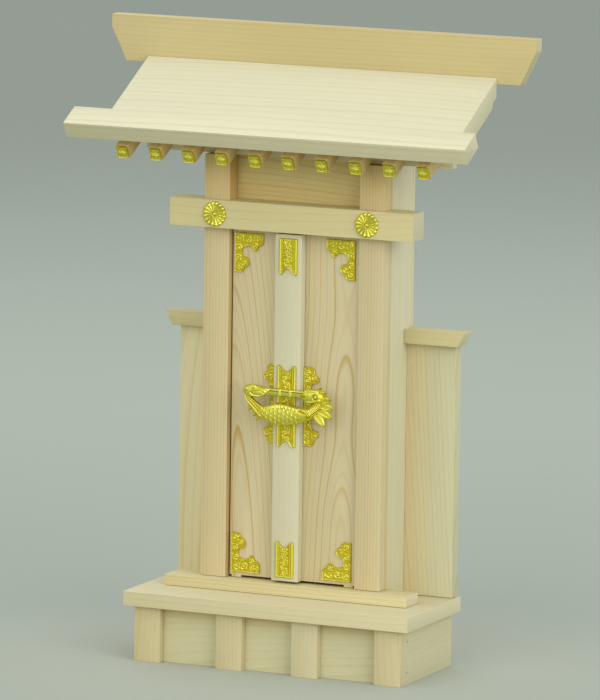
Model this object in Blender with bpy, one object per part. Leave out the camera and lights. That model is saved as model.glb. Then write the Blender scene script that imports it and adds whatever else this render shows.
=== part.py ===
"""Kamidana: a household shrine of plain conifer wood with gilt fittings.

Metres, +Z up, the doors face -Y. The origin is on the ground, under the
middle of the overall width and depth.
"""

import math

import bpy
import bmesh

# Whole shrine, and the joints between its pieces
TOTAL_HEIGHT = 0.500
GAP = 0.0003

# Base box
BASE_WIDTH = 0.244
BASE_DEPTH = 0.1045
BASE_HEIGHT = 0.056
BASE_TOP_THICK = 0.0116
BASE_BOARD_THICK = 0.0115
BASE_SIDE_INSET = 0.0075
PILASTER_INSET = 0.005
PILASTER_WIDTH = 0.0225
PILASTER_THICK = 0.007
PILASTER_MIDDLE_SPACING = 0.065

# Cabinet, measured back from the pillars' front faces
CABINET_DEPTH = 0.0575
PILLAR_SPREAD = 0.1546
PILLAR_WIDTH = 0.0218
PILLAR_DEPTH = 0.014
SILL_LENGTH = 0.208
SILL_THICK = 0.009
SILL_PROUD = 0.009
SIDE_WALL_THICK = 0.010
BACK_BOARD_THICK = 0.004
BEAM_LENGTH = 0.208
BEAM_HEIGHT = 0.022
BEAM_PROUD = 0.007
UPPER_PANEL_THICK = 0.008
UPPER_PANEL_SHOWN = 0.035

# Wings
WING_BASE_MARGIN = 0.0032
WING_HEIGHT = 0.200
WING_THICK = 0.011
WING_CAP_THICK = 0.0115
WING_CAP_DEPTH = 0.0181
WING_CAP_OVERHANG = 0.010
WING_CAP_SLANT = 0.0058

# Roof: the slope runs up from the purlin's front top edge
ROOF_SLOPE = math.radians(28.5)
PURLIN_LENGTH = 0.262
PURLIN_SETBACK = 0.0065
PURLIN_HEIGHT = 0.0088
RAFTER_COUNT = 10
RAFTER_SPACING = 0.0285
RAFTER_ROW_X = -0.0095
RAFTER_WIDTH = 0.010
RAFTER_HEIGHT = 0.012
RAFTER_REACH = 0.0297
RAFTER_CAP_THICK = 0.002
RAFTER_CAP_RIM = 0.0008
SOFFIT_WIDTH = 0.293
SOFFIT_THICK = 0.0074
SOFFIT_REACH = 0.023
ROOF_WIDTH = 0.299
ROOF_THICK = 0.014
ROOF_REACH = 0.034
EAVE_WIDTH = 0.342
EAVE_DEPTH = 0.023
RIDGE_WIDTH = 0.364
RIDGE_HEIGHT = 0.0365
RIDGE_THICK = 0.011
RIDGE_LAP = 0.0048
RIDGE_END_FLAT = 0.010
RIDGE_END_SLANT = 0.013

# Doors
DOOR_THICK = 0.009
DOOR_SETBACK = 0.005
DOOR_SIDE_GAP = 0.0013
DOOR_HEAD_GAP = 0.0015
DOOR_FOOT_GAP = 0.002
PIVOT_WIDTH = 0.008
PIVOT_INSET = 0.0058
PIVOT_DEPTH = 0.003
COVER_WIDTH = 0.0227
COVER_THICK = 0.008
COVER_X = -0.0031

# Gilt fittings
PLATE_THICK = 0.0015
CREST_DIAMETER = 0.020
CREST_SPACING = 0.1302
CREST_RIM = 0.0008
CREST_PETALS = 16
CREST_PETAL_HEIGHT = 0.0016
CREST_BOSS_HEIGHT = 0.0026
CORNER_WIDTH = 0.025
CORNER_HEIGHT = 0.0315
CORNER_EDGE_GAP = {"left": 0.0016, "right": 0.0032}
CORNER_HEAD_GAP = 0.0020
CORNER_FOOT_GAP = 0.0026
COVER_PLATE_WIDTH = 0.0157
COVER_PLATE_HEIGHT = 0.029
COVER_PLATE_HEAD_GAP = 0.003
COVER_PLATE_FOOT_GAP = 0.003
TAIL_NOTCH_DEPTH = 0.0052
TAIL_NOTCH_SHARE = 0.56
LOCK_ABOVE_MIDDLE = 0.0018
LOCK_PLATE_WIDTH = 0.0163
LOCK_PLATE_HEIGHT = 0.0657
SIDE_PLATE_HEIGHT = 0.063
SIDE_PLATE_WIDTH = {"left": 0.0097, "right": 0.0140}
SIDE_PLATE_GAP = {"left": 0.0025, "right": 0.0003}
LOCK_LENGTH = 0.077
LOCK_DEPTH = 0.0092
LOCK_BAR_LENGTH = 0.037
LOCK_BAR_HEIGHT = 0.0046
LOCK_BAR_DEPTH = 0.0058
LOCK_BAR_RISE = 0.0114
STAPLE_X = 0.0017
STAPLE_SPACING = 0.0090
STAPLE_WIDTH = 0.0030
STAPLE_HEIGHT = 0.0056
STAPLE_PROUD = 0.0007
FIN_DEPTH = 0.0045

# Places that follow from the sizes above
FACE_Y = BASE_DEPTH / 2 - CABINET_DEPTH
BACK_Y = BASE_DEPTH / 2
SOFFIT_TOP = RAFTER_HEIGHT + SOFFIT_THICK
ROOF_TOP = SOFFIT_TOP + ROOF_THICK
ROOF_RUN = CABINET_DEPTH - RIDGE_THICK - GAP - PURLIN_SETBACK
ROOF_RISE = ROOF_TOP / math.cos(ROOF_SLOPE) + ROOF_RUN * math.tan(ROOF_SLOPE)
PILLAR_TOP = TOTAL_HEIGHT - RIDGE_HEIGHT + RIDGE_LAP - ROOF_RISE - PURLIN_HEIGHT
SILL_TOP = BASE_HEIGHT + SILL_THICK
BEAM_FOOT = PILLAR_TOP - UPPER_PANEL_SHOWN - BEAM_HEIGHT
PILLAR_OUTER_X = PILLAR_SPREAD / 2
PILLAR_INNER_X = PILLAR_OUTER_X - PILLAR_WIDTH
WALL_INNER_X = PILLAR_OUTER_X - SIDE_WALL_THICK
PILLAR_BACK_Y = FACE_Y + PILLAR_DEPTH
PURLIN_FRONT_Y = FACE_Y + PURLIN_SETBACK
SLOPE_FOOT_Z = PILLAR_TOP + PURLIN_HEIGHT
RIDGE_FRONT_Y = BACK_Y - RIDGE_THICK
EAVE_X = (EAVE_WIDTH - RIDGE_WIDTH) / 2
DOOR_EDGE_X = PILLAR_INNER_X - DOOR_SIDE_GAP
DOOR_FOOT = SILL_TOP + DOOR_FOOT_GAP
DOOR_HEAD = BEAM_FOOT - DOOR_HEAD_GAP
DOOR_FACE_Y = FACE_Y + DOOR_SETBACK
COVER_FACE_Y = DOOR_FACE_Y - COVER_THICK
COVER_LEFT_X = COVER_X - COVER_WIDTH / 2
COVER_RIGHT_X = COVER_X + COVER_WIDTH / 2
LOCK_Z = (DOOR_FOOT + DOOR_HEAD) / 2 + LOCK_ABOVE_MIDDLE
PIVOT_X = DOOR_EDGE_X - PIVOT_INSET
DOOR_INNER_X = PIVOT_X - math.sqrt((PIVOT_X - GAP) ** 2 - (DOOR_THICK - PIVOT_DEPTH) ** 2)
SIDES = {"left": -1, "right": 1}

# Finishes: colour, roughness, metallic
PALE_WOOD = ((0.64, 0.55, 0.33), 0.62, 0.0)
WARM_WOOD = ((0.52, 0.42, 0.23), 0.62, 0.0)
ROOF_WOOD = ((0.78, 0.74, 0.54), 0.66, 0.0)
GILT = ((0.72, 0.55, 0.06), 0.28, 1.0)


def start_empty():
    """Remove every object of the scene."""
    for thing in list(bpy.data.objects):
        bpy.data.objects.remove(thing)


def piece_from_mesh(name, shape, finish):
    """Make one named piece from a bmesh, with a material of its own."""
    bmesh.ops.recalc_face_normals(shape, faces=shape.faces)
    mesh = bpy.data.meshes.new(name)
    shape.to_mesh(mesh)
    shape.free()
    piece = bpy.data.objects.new(name, mesh)
    bpy.context.collection.objects.link(piece)
    colour, roughness, metallic = finish
    material = bpy.data.materials.new(name)
    material.use_nodes = True
    shader = material.node_tree.nodes["Principled BSDF"]
    shader.inputs["Base Color"].default_value = (*colour, 1.0)
    shader.inputs["Roughness"].default_value = roughness
    shader.inputs["Metallic"].default_value = metallic
    mesh.materials.append(material)
    return piece


def prism(name, outline, low, high, place, finish):
    """Carry a closed outline from low to high; place turns (a, b, c) into x, y, z."""
    shape = bmesh.new()
    rings = []
    for level in (low, high):
        rings.append([shape.verts.new(place(a, b, level)) for a, b in outline])
    shape.faces.new(rings[0])
    shape.faces.new(rings[1])
    count = len(outline)
    for i in range(count):
        j = (i + 1) % count
        shape.faces.new((rings[0][i], rings[0][j], rings[1][j], rings[1][i]))
    return piece_from_mesh(name, shape, finish)


def along_x(a, b, c):
    """Outline in y and z, carried along x."""
    return (c, a, b)


def along_y(a, b, c):
    """Outline in x and z, carried along y."""
    return (a, c, b)


def along_z(a, b, c):
    """Outline in x and y, carried along z."""
    return (a, b, c)


def board(name, x, y, z, finish):
    """A plain board between two planes on each axis."""
    outline = ((x[0], y[0]), (x[1], y[0]), (x[1], y[1]), (x[0], y[1]))
    return prism(name, outline, z[0], z[1], along_z, finish)


def mirrored(side, near, far):
    """The x range of a piece between two distances from the middle, on one side."""
    return sorted((side * near, side * far))


def slope_point(u, v):
    """y and z of a point u up the roof's slope and v out from its underside."""
    y = PURLIN_FRONT_Y + u * math.cos(ROOF_SLOPE) - v * math.sin(ROOF_SLOPE)
    z = SLOPE_FOOT_Z + u * math.sin(ROOF_SLOPE) + v * math.cos(ROOF_SLOPE)
    return (y, z)


def slope_height(y, v):
    """z on the plane v out from the roof's underside, at one y."""
    return SLOPE_FOOT_Z + v / math.cos(ROOF_SLOPE) + (y - PURLIN_FRONT_Y) * math.tan(ROOF_SLOPE)


def slope_profile(reach, low, high):
    """Side view of a roof layer: square front end, plumb upper end at the ridge."""
    end = RIDGE_FRONT_Y - GAP
    return (
        slope_point(-reach, low),
        (end, slope_height(end, low)),
        (end, slope_height(end, high)),
        slope_point(-reach, high),
    )


def combine(piece, tool, operation):
    """Join a tool shape to a piece, or cut it away, and drop the tool."""
    step = piece.modifiers.new(operation.lower(), "BOOLEAN")
    step.operation = operation
    step.object = tool
    graph = bpy.context.evaluated_depsgraph_get()
    result = bpy.data.meshes.new_from_object(piece.evaluated_get(graph))
    piece.modifiers.clear()
    piece.data = result
    bpy.data.objects.remove(tool)


def curved_outline(corners, steps=5):
    """Outline through corners (a, b, bulge): each run is straight, or an arc that
    swells by bulge times its half length, to the left of its direction."""
    points = []
    for i, (a, b, bulge) in enumerate(corners):
        c, d, _ = corners[(i + 1) % len(corners)]
        points.append((a, b))
        if bulge == 0:
            continue
        for k in range(1, steps):
            t = k / steps
            swell = bulge * 4 * t * (1 - t) / 2
            points.append((a + (c - a) * t - (d - b) * swell, b + (d - b) * t + (c - a) * swell))
    return points


def base_box():
    """Top board, two side boards, front and back boards, and four pilasters."""
    under = BASE_HEIGHT - BASE_TOP_THICK
    outer = BASE_WIDTH / 2 - BASE_SIDE_INSET
    inner = outer - BASE_BOARD_THICK
    front = -BACK_Y + PILASTER_INSET + PILASTER_THICK
    board("base_top_board", (-BASE_WIDTH / 2, BASE_WIDTH / 2), (-BACK_Y, BACK_Y),
          (under, BASE_HEIGHT), PALE_WOOD)
    for name, side in SIDES.items():
        board(f"base_side_{name}", mirrored(side, inner, outer), (front, BACK_Y),
              (0, under - GAP), PALE_WOOD)
    between = (-inner + GAP, inner - GAP)
    board("base_front_board", between, (front, front + BASE_BOARD_THICK), (0, under - GAP), PALE_WOOD)
    board("base_back_board", between, (BACK_Y - BASE_BOARD_THICK, BACK_Y), (0, under - GAP), PALE_WOOD)
    last = outer - PILASTER_WIDTH / 2
    middle = PILASTER_MIDDLE_SPACING / 2
    for number, x in enumerate((-last, -middle, middle, last), start=1):
        board(f"base_pilaster_{number}", (x - PILASTER_WIDTH / 2, x + PILASTER_WIDTH / 2),
              (front - PILASTER_THICK, front - GAP), (0, under - GAP), WARM_WOOD)


def rafter_places():
    """x of each rafter's middle."""
    first = RAFTER_ROW_X - RAFTER_SPACING * (RAFTER_COUNT - 1) / 2
    return [first + RAFTER_SPACING * i for i in range(RAFTER_COUNT)]


def side_wall(name, side):
    """Side wall up to the soffit, notched round any rafter that crosses it."""
    x = mirrored(side, WALL_INNER_X, PILLAR_OUTER_X)
    front = PILLAR_BACK_Y + GAP
    back = BACK_Y - BACK_BOARD_THICK - GAP
    foot = BASE_HEIGHT + GAP
    top = RAFTER_HEIGHT
    outline = (
        (front, foot),
        (back, foot),
        (back, min(slope_height(back, top), ridge_foot() - GAP)),
        (front, slope_height(front, top)),
    )
    wall = prism(name, outline, x[0], x[1], along_x, PALE_WOOD)
    half = RAFTER_WIDTH / 2 + GAP
    for middle in rafter_places():
        if middle + half > x[0] and middle - half < x[1]:
            slot_outline = (
                slope_point(-RAFTER_REACH, 0),
                slope_point(CABINET_DEPTH * 2, 0),
                slope_point(CABINET_DEPTH * 2, RAFTER_HEIGHT * 2),
                slope_point(-RAFTER_REACH, RAFTER_HEIGHT * 2),
            )
            slot = prism("rafter_slot", slot_outline, middle - half, middle + half, along_x, PALE_WOOD)
            combine(wall, slot, "DIFFERENCE")
    return wall


def ridge_foot():
    """Height of the ridge board's lower edge, a little below the roof's top."""
    return slope_height(RIDGE_FRONT_Y - GAP, ROOF_TOP) - RIDGE_LAP


def cabinet():
    """Sill, pillars, walls, back, the beam notched over the pillars, and the panel."""
    board("sill", (-SILL_LENGTH / 2, SILL_LENGTH / 2), (FACE_Y - SILL_PROUD, PILLAR_BACK_Y),
          (BASE_HEIGHT + GAP, SILL_TOP), PALE_WOOD)
    for name, side in SIDES.items():
        board(f"pillar_{name}", mirrored(side, PILLAR_INNER_X, PILLAR_OUTER_X),
              (FACE_Y, PILLAR_BACK_Y), (SILL_TOP + GAP, PILLAR_TOP), WARM_WOOD)
        side_wall(f"side_wall_{name}", side)
    board("back_board", (-PILLAR_OUTER_X, PILLAR_OUTER_X), (BACK_Y - BACK_BOARD_THICK, BACK_Y),
          (BASE_HEIGHT + GAP, ridge_foot() - GAP), PALE_WOOD)

    half = BEAM_LENGTH / 2
    near = PILLAR_INNER_X - GAP
    far = PILLAR_OUTER_X + GAP
    notch = FACE_Y - GAP
    back = PILLAR_BACK_Y
    outline = (
        (-half, FACE_Y - BEAM_PROUD), (half, FACE_Y - BEAM_PROUD), (half, back), (far, back),
        (far, notch), (near, notch), (near, back), (-near, back),
        (-near, notch), (-far, notch), (-far, back), (-half, back),
    )
    prism("beam", outline, BEAM_FOOT, BEAM_FOOT + BEAM_HEIGHT, along_z, PALE_WOOD)

    front = PILLAR_BACK_Y + GAP
    behind = front + UPPER_PANEL_THICK
    outline = (
        (front, BEAM_FOOT), (behind, BEAM_FOOT),
        (behind, slope_height(behind, 0)), (front, slope_height(front, 0)),
    )
    width = WALL_INNER_X - GAP
    prism("upper_panel", outline, -width, width, along_x, WARM_WOOD)


def wings():
    """A low panel at the back on each side, with a cap whose end is cut slanting."""
    inner = PILLAR_OUTER_X + GAP
    outer = BASE_WIDTH / 2 - WING_BASE_MARGIN
    top = BASE_HEIGHT + WING_HEIGHT
    for name, side in SIDES.items():
        board(f"wing_{name}", mirrored(side, inner, outer), (BACK_Y - WING_THICK, BACK_Y),
              (BASE_HEIGHT + GAP, top), WARM_WOOD)
        tip = outer + WING_CAP_OVERHANG
        foot = top + GAP
        outline = (
            (side * inner, foot), (side * (tip - WING_CAP_SLANT), foot),
            (side * tip, top + WING_CAP_THICK), (side * inner, top + WING_CAP_THICK),
        )
        prism(f"wing_cap_{name}", outline, BACK_Y - WING_CAP_DEPTH, BACK_Y, along_y, PALE_WOOD)


def rafter_cap(name, middle):
    """Gilt plate over a rafter's end: a thin rim that swells to a rounded boss."""
    cells = 6
    shape = bmesh.new()
    back = -(RAFTER_REACH + GAP)
    rows = []
    for j in range(cells + 1):
        row = []
        for i in range(cells + 1):
            s = 2 * i / cells - 1
            t = 2 * j / cells - 1
            swell = max(0.0, (1 - s * s) * (1 - t * t)) ** 0.5
            out = RAFTER_CAP_RIM + (RAFTER_CAP_THICK - RAFTER_CAP_RIM) * swell
            v = GAP + (RAFTER_HEIGHT - GAP) * (t + 1) / 2
            row.append(shape.verts.new((middle + s * RAFTER_WIDTH / 2, *slope_point(back - out, v))))
        rows.append(row)
    for j in range(cells):
        for i in range(cells):
            shape.faces.new((rows[j][i], rows[j][i + 1], rows[j + 1][i + 1], rows[j + 1][i]))
    rim = rows[0] + [row[-1] for row in rows[1:]] + rows[-1][-2::-1] + [row[0] for row in rows[-2:0:-1]]
    behind = []
    for vert in rim:
        shift = slope_point(back, 0)[0] - slope_point(back - RAFTER_CAP_RIM, 0)[0]
        rise = slope_point(back, 0)[1] - slope_point(back - RAFTER_CAP_RIM, 0)[1]
        behind.append(shape.verts.new((vert.co.x, vert.co.y + shift, vert.co.z + rise)))
    for i in range(len(rim)):
        j = (i + 1) % len(rim)
        shape.faces.new((rim[i], rim[j], behind[j], behind[i]))
    shape.faces.new(behind)
    return piece_from_mesh(name, shape, GILT)


def roof():
    """Purlin, rafters with their caps, soffit, roof board and ridge board."""
    foot = PILLAR_TOP + GAP
    outline = (
        (PURLIN_FRONT_Y, foot), (PILLAR_BACK_Y, foot),
        (PILLAR_BACK_Y, slope_height(PILLAR_BACK_Y, 0)), (PURLIN_FRONT_Y, SLOPE_FOOT_Z),
    )
    prism("purlin", outline, -PURLIN_LENGTH / 2, PURLIN_LENGTH / 2, along_x, PALE_WOOD)

    profile = slope_profile(RAFTER_REACH, GAP, RAFTER_HEIGHT)
    for number, middle in enumerate(rafter_places(), start=1):
        prism(f"rafter_{number}", profile, middle - RAFTER_WIDTH / 2, middle + RAFTER_WIDTH / 2,
              along_x, WARM_WOOD)
        rafter_cap(f"rafter_cap_{number}", middle)

    profile = slope_profile(SOFFIT_REACH, RAFTER_HEIGHT + GAP, SOFFIT_TOP)
    prism("soffit_board", profile, -SOFFIT_WIDTH / 2, SOFFIT_WIDTH / 2, along_x, PALE_WOOD)

    roof_board()

    low = ridge_foot()
    high = low + RIDGE_HEIGHT
    wide = RIDGE_WIDTH / 2
    narrow = wide - RIDGE_END_SLANT
    outline = (
        (-narrow, low), (narrow, low), (wide, high - RIDGE_END_FLAT),
        (wide, high), (-wide, high), (-wide, high - RIDGE_END_FLAT),
    )
    prism("ridge_board", outline, RIDGE_FRONT_Y, BACK_Y, along_y, WARM_WOOD)


def roof_board():
    """One board, T-shaped from above: a wide strip at the eave, whose left end lines up with
    the ridge board's, then the narrower slope."""
    end = RIDGE_FRONT_Y - GAP
    wide = (EAVE_X - EAVE_WIDTH / 2, EAVE_X + EAVE_WIDTH / 2)
    narrow = (-ROOF_WIDTH / 2, ROOF_WIDTH / 2)
    front = -ROOF_REACH
    step = front + EAVE_DEPTH
    plan = (
        (wide[0], front), (wide[1], front), (wide[1], step), (narrow[1], step),
        (narrow[1], None), (narrow[0], None), (narrow[0], step), (wide[0], step),
    )
    shape = bmesh.new()
    layers = []
    for v in (SOFFIT_TOP + GAP, ROOF_TOP):
        layer = []
        for x, u in plan:
            place = (end, slope_height(end, v)) if u is None else slope_point(u, v)
            layer.append(shape.verts.new((x, *place)))
        layers.append(layer)
    lower, upper = layers
    shape.faces.new(lower)
    shape.faces.new(upper)
    for i in range(len(plan)):
        j = (i + 1) % len(plan)
        shape.faces.new((lower[i], lower[j], upper[j], upper[i]))
    return piece_from_mesh("roof_board", shape, ROOF_WOOD)


def hinge(name, side):
    """Empty on a door's upright pivot axis."""
    axis = bpy.data.objects.new(f"hinge_{name}", None)
    axis.location = (side * PIVOT_X, DOOR_FACE_Y + PIVOT_DEPTH, SILL_TOP)
    bpy.context.collection.objects.link(axis)
    return axis


def hang(axis, piece):
    """Let a piece turn with a door's axis, without moving it now."""
    bpy.context.view_layer.update()
    piece.parent = axis
    piece.matrix_parent_inverse = axis.matrix_world.inverted()


def door(name, side):
    """Door with a pivot foot under its outer lower corner, in one piece. Its inner edge
    stands off the middle by what the two back corners need as they swing past."""
    lug_near = PIVOT_X - PIVOT_WIDTH / 2
    lug_far = PIVOT_X + PIVOT_WIDTH / 2
    lug_foot = SILL_TOP + GAP
    outline = (
        (DOOR_INNER_X, DOOR_FOOT), (lug_near, DOOR_FOOT), (lug_near, lug_foot),
        (lug_far, lug_foot), (lug_far, DOOR_FOOT), (DOOR_EDGE_X, DOOR_FOOT),
        (DOOR_EDGE_X, DOOR_HEAD), (DOOR_INNER_X, DOOR_HEAD),
    )
    outline = [(side * x, z) for x, z in outline]
    return prism(f"door_{name}", outline, DOOR_FACE_Y, DOOR_FACE_Y + DOOR_THICK, along_y, WARM_WOOD)


def gilt_plate(name, outline, behind):
    """Thin gilt plate whose back lies just in front of the surface at y = behind."""
    return prism(name, outline, behind - GAP - PLATE_THICK, behind - GAP, along_y, GILT)


def corner_plate(name, side, level):
    """Corner fitting: two arms that end in leaf lobes, round a cusped hollow."""
    wide = CORNER_WIDTH
    tall = CORNER_HEIGHT
    corners = (
        (0.00, 0.00, 0.0),
        (1.00, 0.00, 0.0),
        (1.00, 0.15, -0.45),
        (0.82, 0.33, -0.25),
        (0.71, 0.46, 0.15),
        (0.53, 0.34, 0.75),
        (0.29, 0.60, -0.45),
        (0.52, 0.74, -0.35),
        (0.34, 0.88, -0.35),
        (0.24, 1.00, 0.0),
        (0.00, 1.00, 0.0),
    )
    scaled = [(a * wide, b * tall, bulge) for a, b, bulge in corners]
    edge = DOOR_EDGE_X - CORNER_EDGE_GAP["left" if side < 0 else "right"]
    start = DOOR_HEAD - CORNER_HEAD_GAP if level > 0 else DOOR_FOOT + CORNER_FOOT_GAP
    outline = [(side * (edge - a), start - level * b) for a, b in curved_outline(scaled)]
    return gilt_plate(name, outline, DOOR_FACE_Y)


def tail_end(width, direction):
    """Swallow-tail end of a plate, from its left edge to its right, as corners."""
    half = width / 2
    notch = half * TAIL_NOTCH_SHARE
    deep = -direction * TAIL_NOTCH_DEPTH
    round_tip = 0.5 * direction
    return (
        (-half, deep / 4, round_tip),
        (-notch, deep / 4, -0.25 * direction),
        (0.0, deep, -0.25 * direction),
        (notch, deep / 4, round_tip),
        (half, deep / 4, 0.0),
    )


def strip_plate(name, head, foot, tail_up, tail_down):
    """Long fitting on the cover strip, square or swallow-tailed at each end."""
    width = LOCK_PLATE_WIDTH if tail_up and tail_down else COVER_PLATE_WIDTH
    half = width / 2
    if tail_up:
        upper = [(a, head + b, bulge) for a, b, bulge in tail_end(width, 1)]
    else:
        upper = [(-half, head, 0.0), (half, head, 0.0)]
    if tail_down:
        lower = [(a, foot + b, bulge) for a, b, bulge in tail_end(width, -1)]
        lower = reverse_corners(lower)
    else:
        lower = [(half, foot, 0.0), (-half, foot, 0.0)]
    outline = [(COVER_X + a, b) for a, b in curved_outline(upper + lower, steps=4)]
    return gilt_plate(name, outline, COVER_FACE_Y)


def reverse_corners(corners):
    """The same corners walked the other way, with each run's swell kept outside."""
    turned = []
    count = len(corners)
    for i in range(count):
        a, b, _ = corners[count - 1 - i]
        bulge = -corners[count - 2 - i][2] if i < count - 1 else 0.0
        turned.append((a, b, bulge))
    return turned


def side_plate(name, side):
    """Half of a lobed plate beside the cover strip, with a straight inner edge."""
    wide = SIDE_PLATE_WIDTH[name]
    half = SIDE_PLATE_HEIGHT / 2
    lobes = (
        (0.00, 1.00, 0.0),
        (0.46, 1.00, -0.30),
        (0.72, 0.80, -0.20),
        (0.98, 0.72, -0.60),
        (0.62, 0.60, 0.20),
        (0.45, 0.40, 0.0),
    )
    upper = [(a * wide, b * half, bulge) for a, b, bulge in lobes]
    lower = [(a, -b, bulge) for a, b, bulge in reverse_corners(upper)]
    edge = abs(COVER_LEFT_X if side < 0 else COVER_RIGHT_X) + SIDE_PLATE_GAP[name]
    points = curved_outline(upper + lower, steps=4)
    outline = [(side * (edge + a), LOCK_Z + b) for a, b in points]
    return gilt_plate(f"lock_plate_{name}", outline, DOOR_FACE_Y)


def crest(name, x):
    """Chrysanthemum crest: sixteen round-ended petals about a domed boss."""
    steps = CREST_PETALS * 4
    radius = CREST_DIAMETER / 2
    rings = (0.22, 0.30, 0.58, 0.84, 1.00)
    back = FACE_Y - BEAM_PROUD - GAP
    z = BEAM_FOOT + BEAM_HEIGHT / 2
    shape = bmesh.new()
    grid = []
    for share in rings:
        ring = []
        for i in range(steps):
            angle = math.tau * i / steps
            across = abs(math.sin(CREST_PETALS / 2 * angle))
            scallop = 1 - 0.07 * (1 - across) * share ** 4
            if share < 0.25:
                height = CREST_PETAL_HEIGHT
            elif share < 0.35:
                height = CREST_PETAL_HEIGHT * 0.55
            elif share < 1:
                height = CREST_PETAL_HEIGHT * (0.55 + 0.45 * across)
            else:
                height = CREST_RIM
            reach = radius * share * scallop
            spot = (x + reach * math.cos(angle), back - height, z + reach * math.sin(angle))
            ring.append(shape.verts.new(spot))
        grid.append(ring)
    back_ring = [shape.verts.new((vert.co.x, back, vert.co.z)) for vert in grid[-1]]
    grid.append(back_ring)
    top = shape.verts.new((x, back - CREST_BOSS_HEIGHT, z))
    for i in range(steps):
        j = (i + 1) % steps
        shape.faces.new((top, grid[0][i], grid[0][j]))
        for inner, outer in zip(grid, grid[1:]):
            shape.faces.new((inner[i], outer[i], outer[j], inner[j]))
    shape.faces.new(back_ring)
    return piece_from_mesh(name, shape, GILT)


def smooth_path(stations, steps):
    """Catmull-Rom curve through stations, each a tuple of numbers."""
    padded = [stations[0], *stations, stations[-1]]
    path = []
    for i in range(1, len(padded) - 2):
        before, start, end, after = padded[i - 1:i + 3]
        for k in range(steps):
            t = k / steps
            path.append(tuple(
                0.5 * (2 * s + (e - b) * t + (2 * b - 5 * s + 4 * e - a) * t * t
                       + (3 * s - 3 * e + a - b) * t ** 3)
                for b, s, e, a in zip(before, start, end, after)))
    path.append(tuple(stations[-1]))
    return path


def fish_form(stations, centre_y):
    """Round form swept along stations, each x, z and half height in hundredths of the
    lock's length about its middle. It is flattened where it is taller than the lock is deep."""
    sides = 12
    unit = LOCK_LENGTH / 100
    path = smooth_path(stations, 3)
    shape = bmesh.new()
    rings = []
    for i, (x, z, half) in enumerate(path):
        before = path[max(i - 1, 0)]
        after = path[min(i + 1, len(path) - 1)]
        run = math.hypot(after[0] - before[0], after[1] - before[1])
        across = (-(after[1] - before[1]) / run, (after[0] - before[0]) / run)
        depth = min(LOCK_DEPTH / 2, half * unit)
        ring = []
        for k in range(sides):
            angle = math.tau * k / sides
            lift = half * math.cos(angle)
            ring.append(shape.verts.new((
                COVER_X + (x + across[0] * lift) * unit,
                centre_y + depth * math.sin(angle),
                LOCK_Z + (z + across[1] * lift) * unit)))
        rings.append(ring)
    for one, two in zip(rings, rings[1:]):
        for k in range(sides):
            n = (k + 1) % sides
            shape.faces.new((one[k], one[n], two[n], two[k]))
    shape.faces.new(rings[0])
    shape.faces.new(rings[-1])
    return piece_from_mesh("fish_lock", shape, GILT)


def fin(root, tip, width, centre_y):
    """Leaf-shaped fin from root to tip, in hundredths of the lock's length."""
    unit = LOCK_LENGTH / 100
    run = (tip[0] - root[0], tip[1] - root[1])
    length = math.hypot(*run)
    across = (-run[1] / length, run[0] / length)
    outline = []
    for along, spread in ((0, 0.35), (0.35, 0.5), (0.75, 0.32), (1, 0), (0.75, -0.32), (0.35, -0.5),
                          (0, -0.35)):
        outline.append((
            COVER_X + (root[0] + run[0] * along + across[0] * width * spread) * unit,
            LOCK_Z + (root[1] + run[1] * along + across[1] * width * spread) * unit))
    return prism("fin", outline, centre_y - FIN_DEPTH / 2, centre_y + FIN_DEPTH / 2, along_y, GILT)


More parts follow.
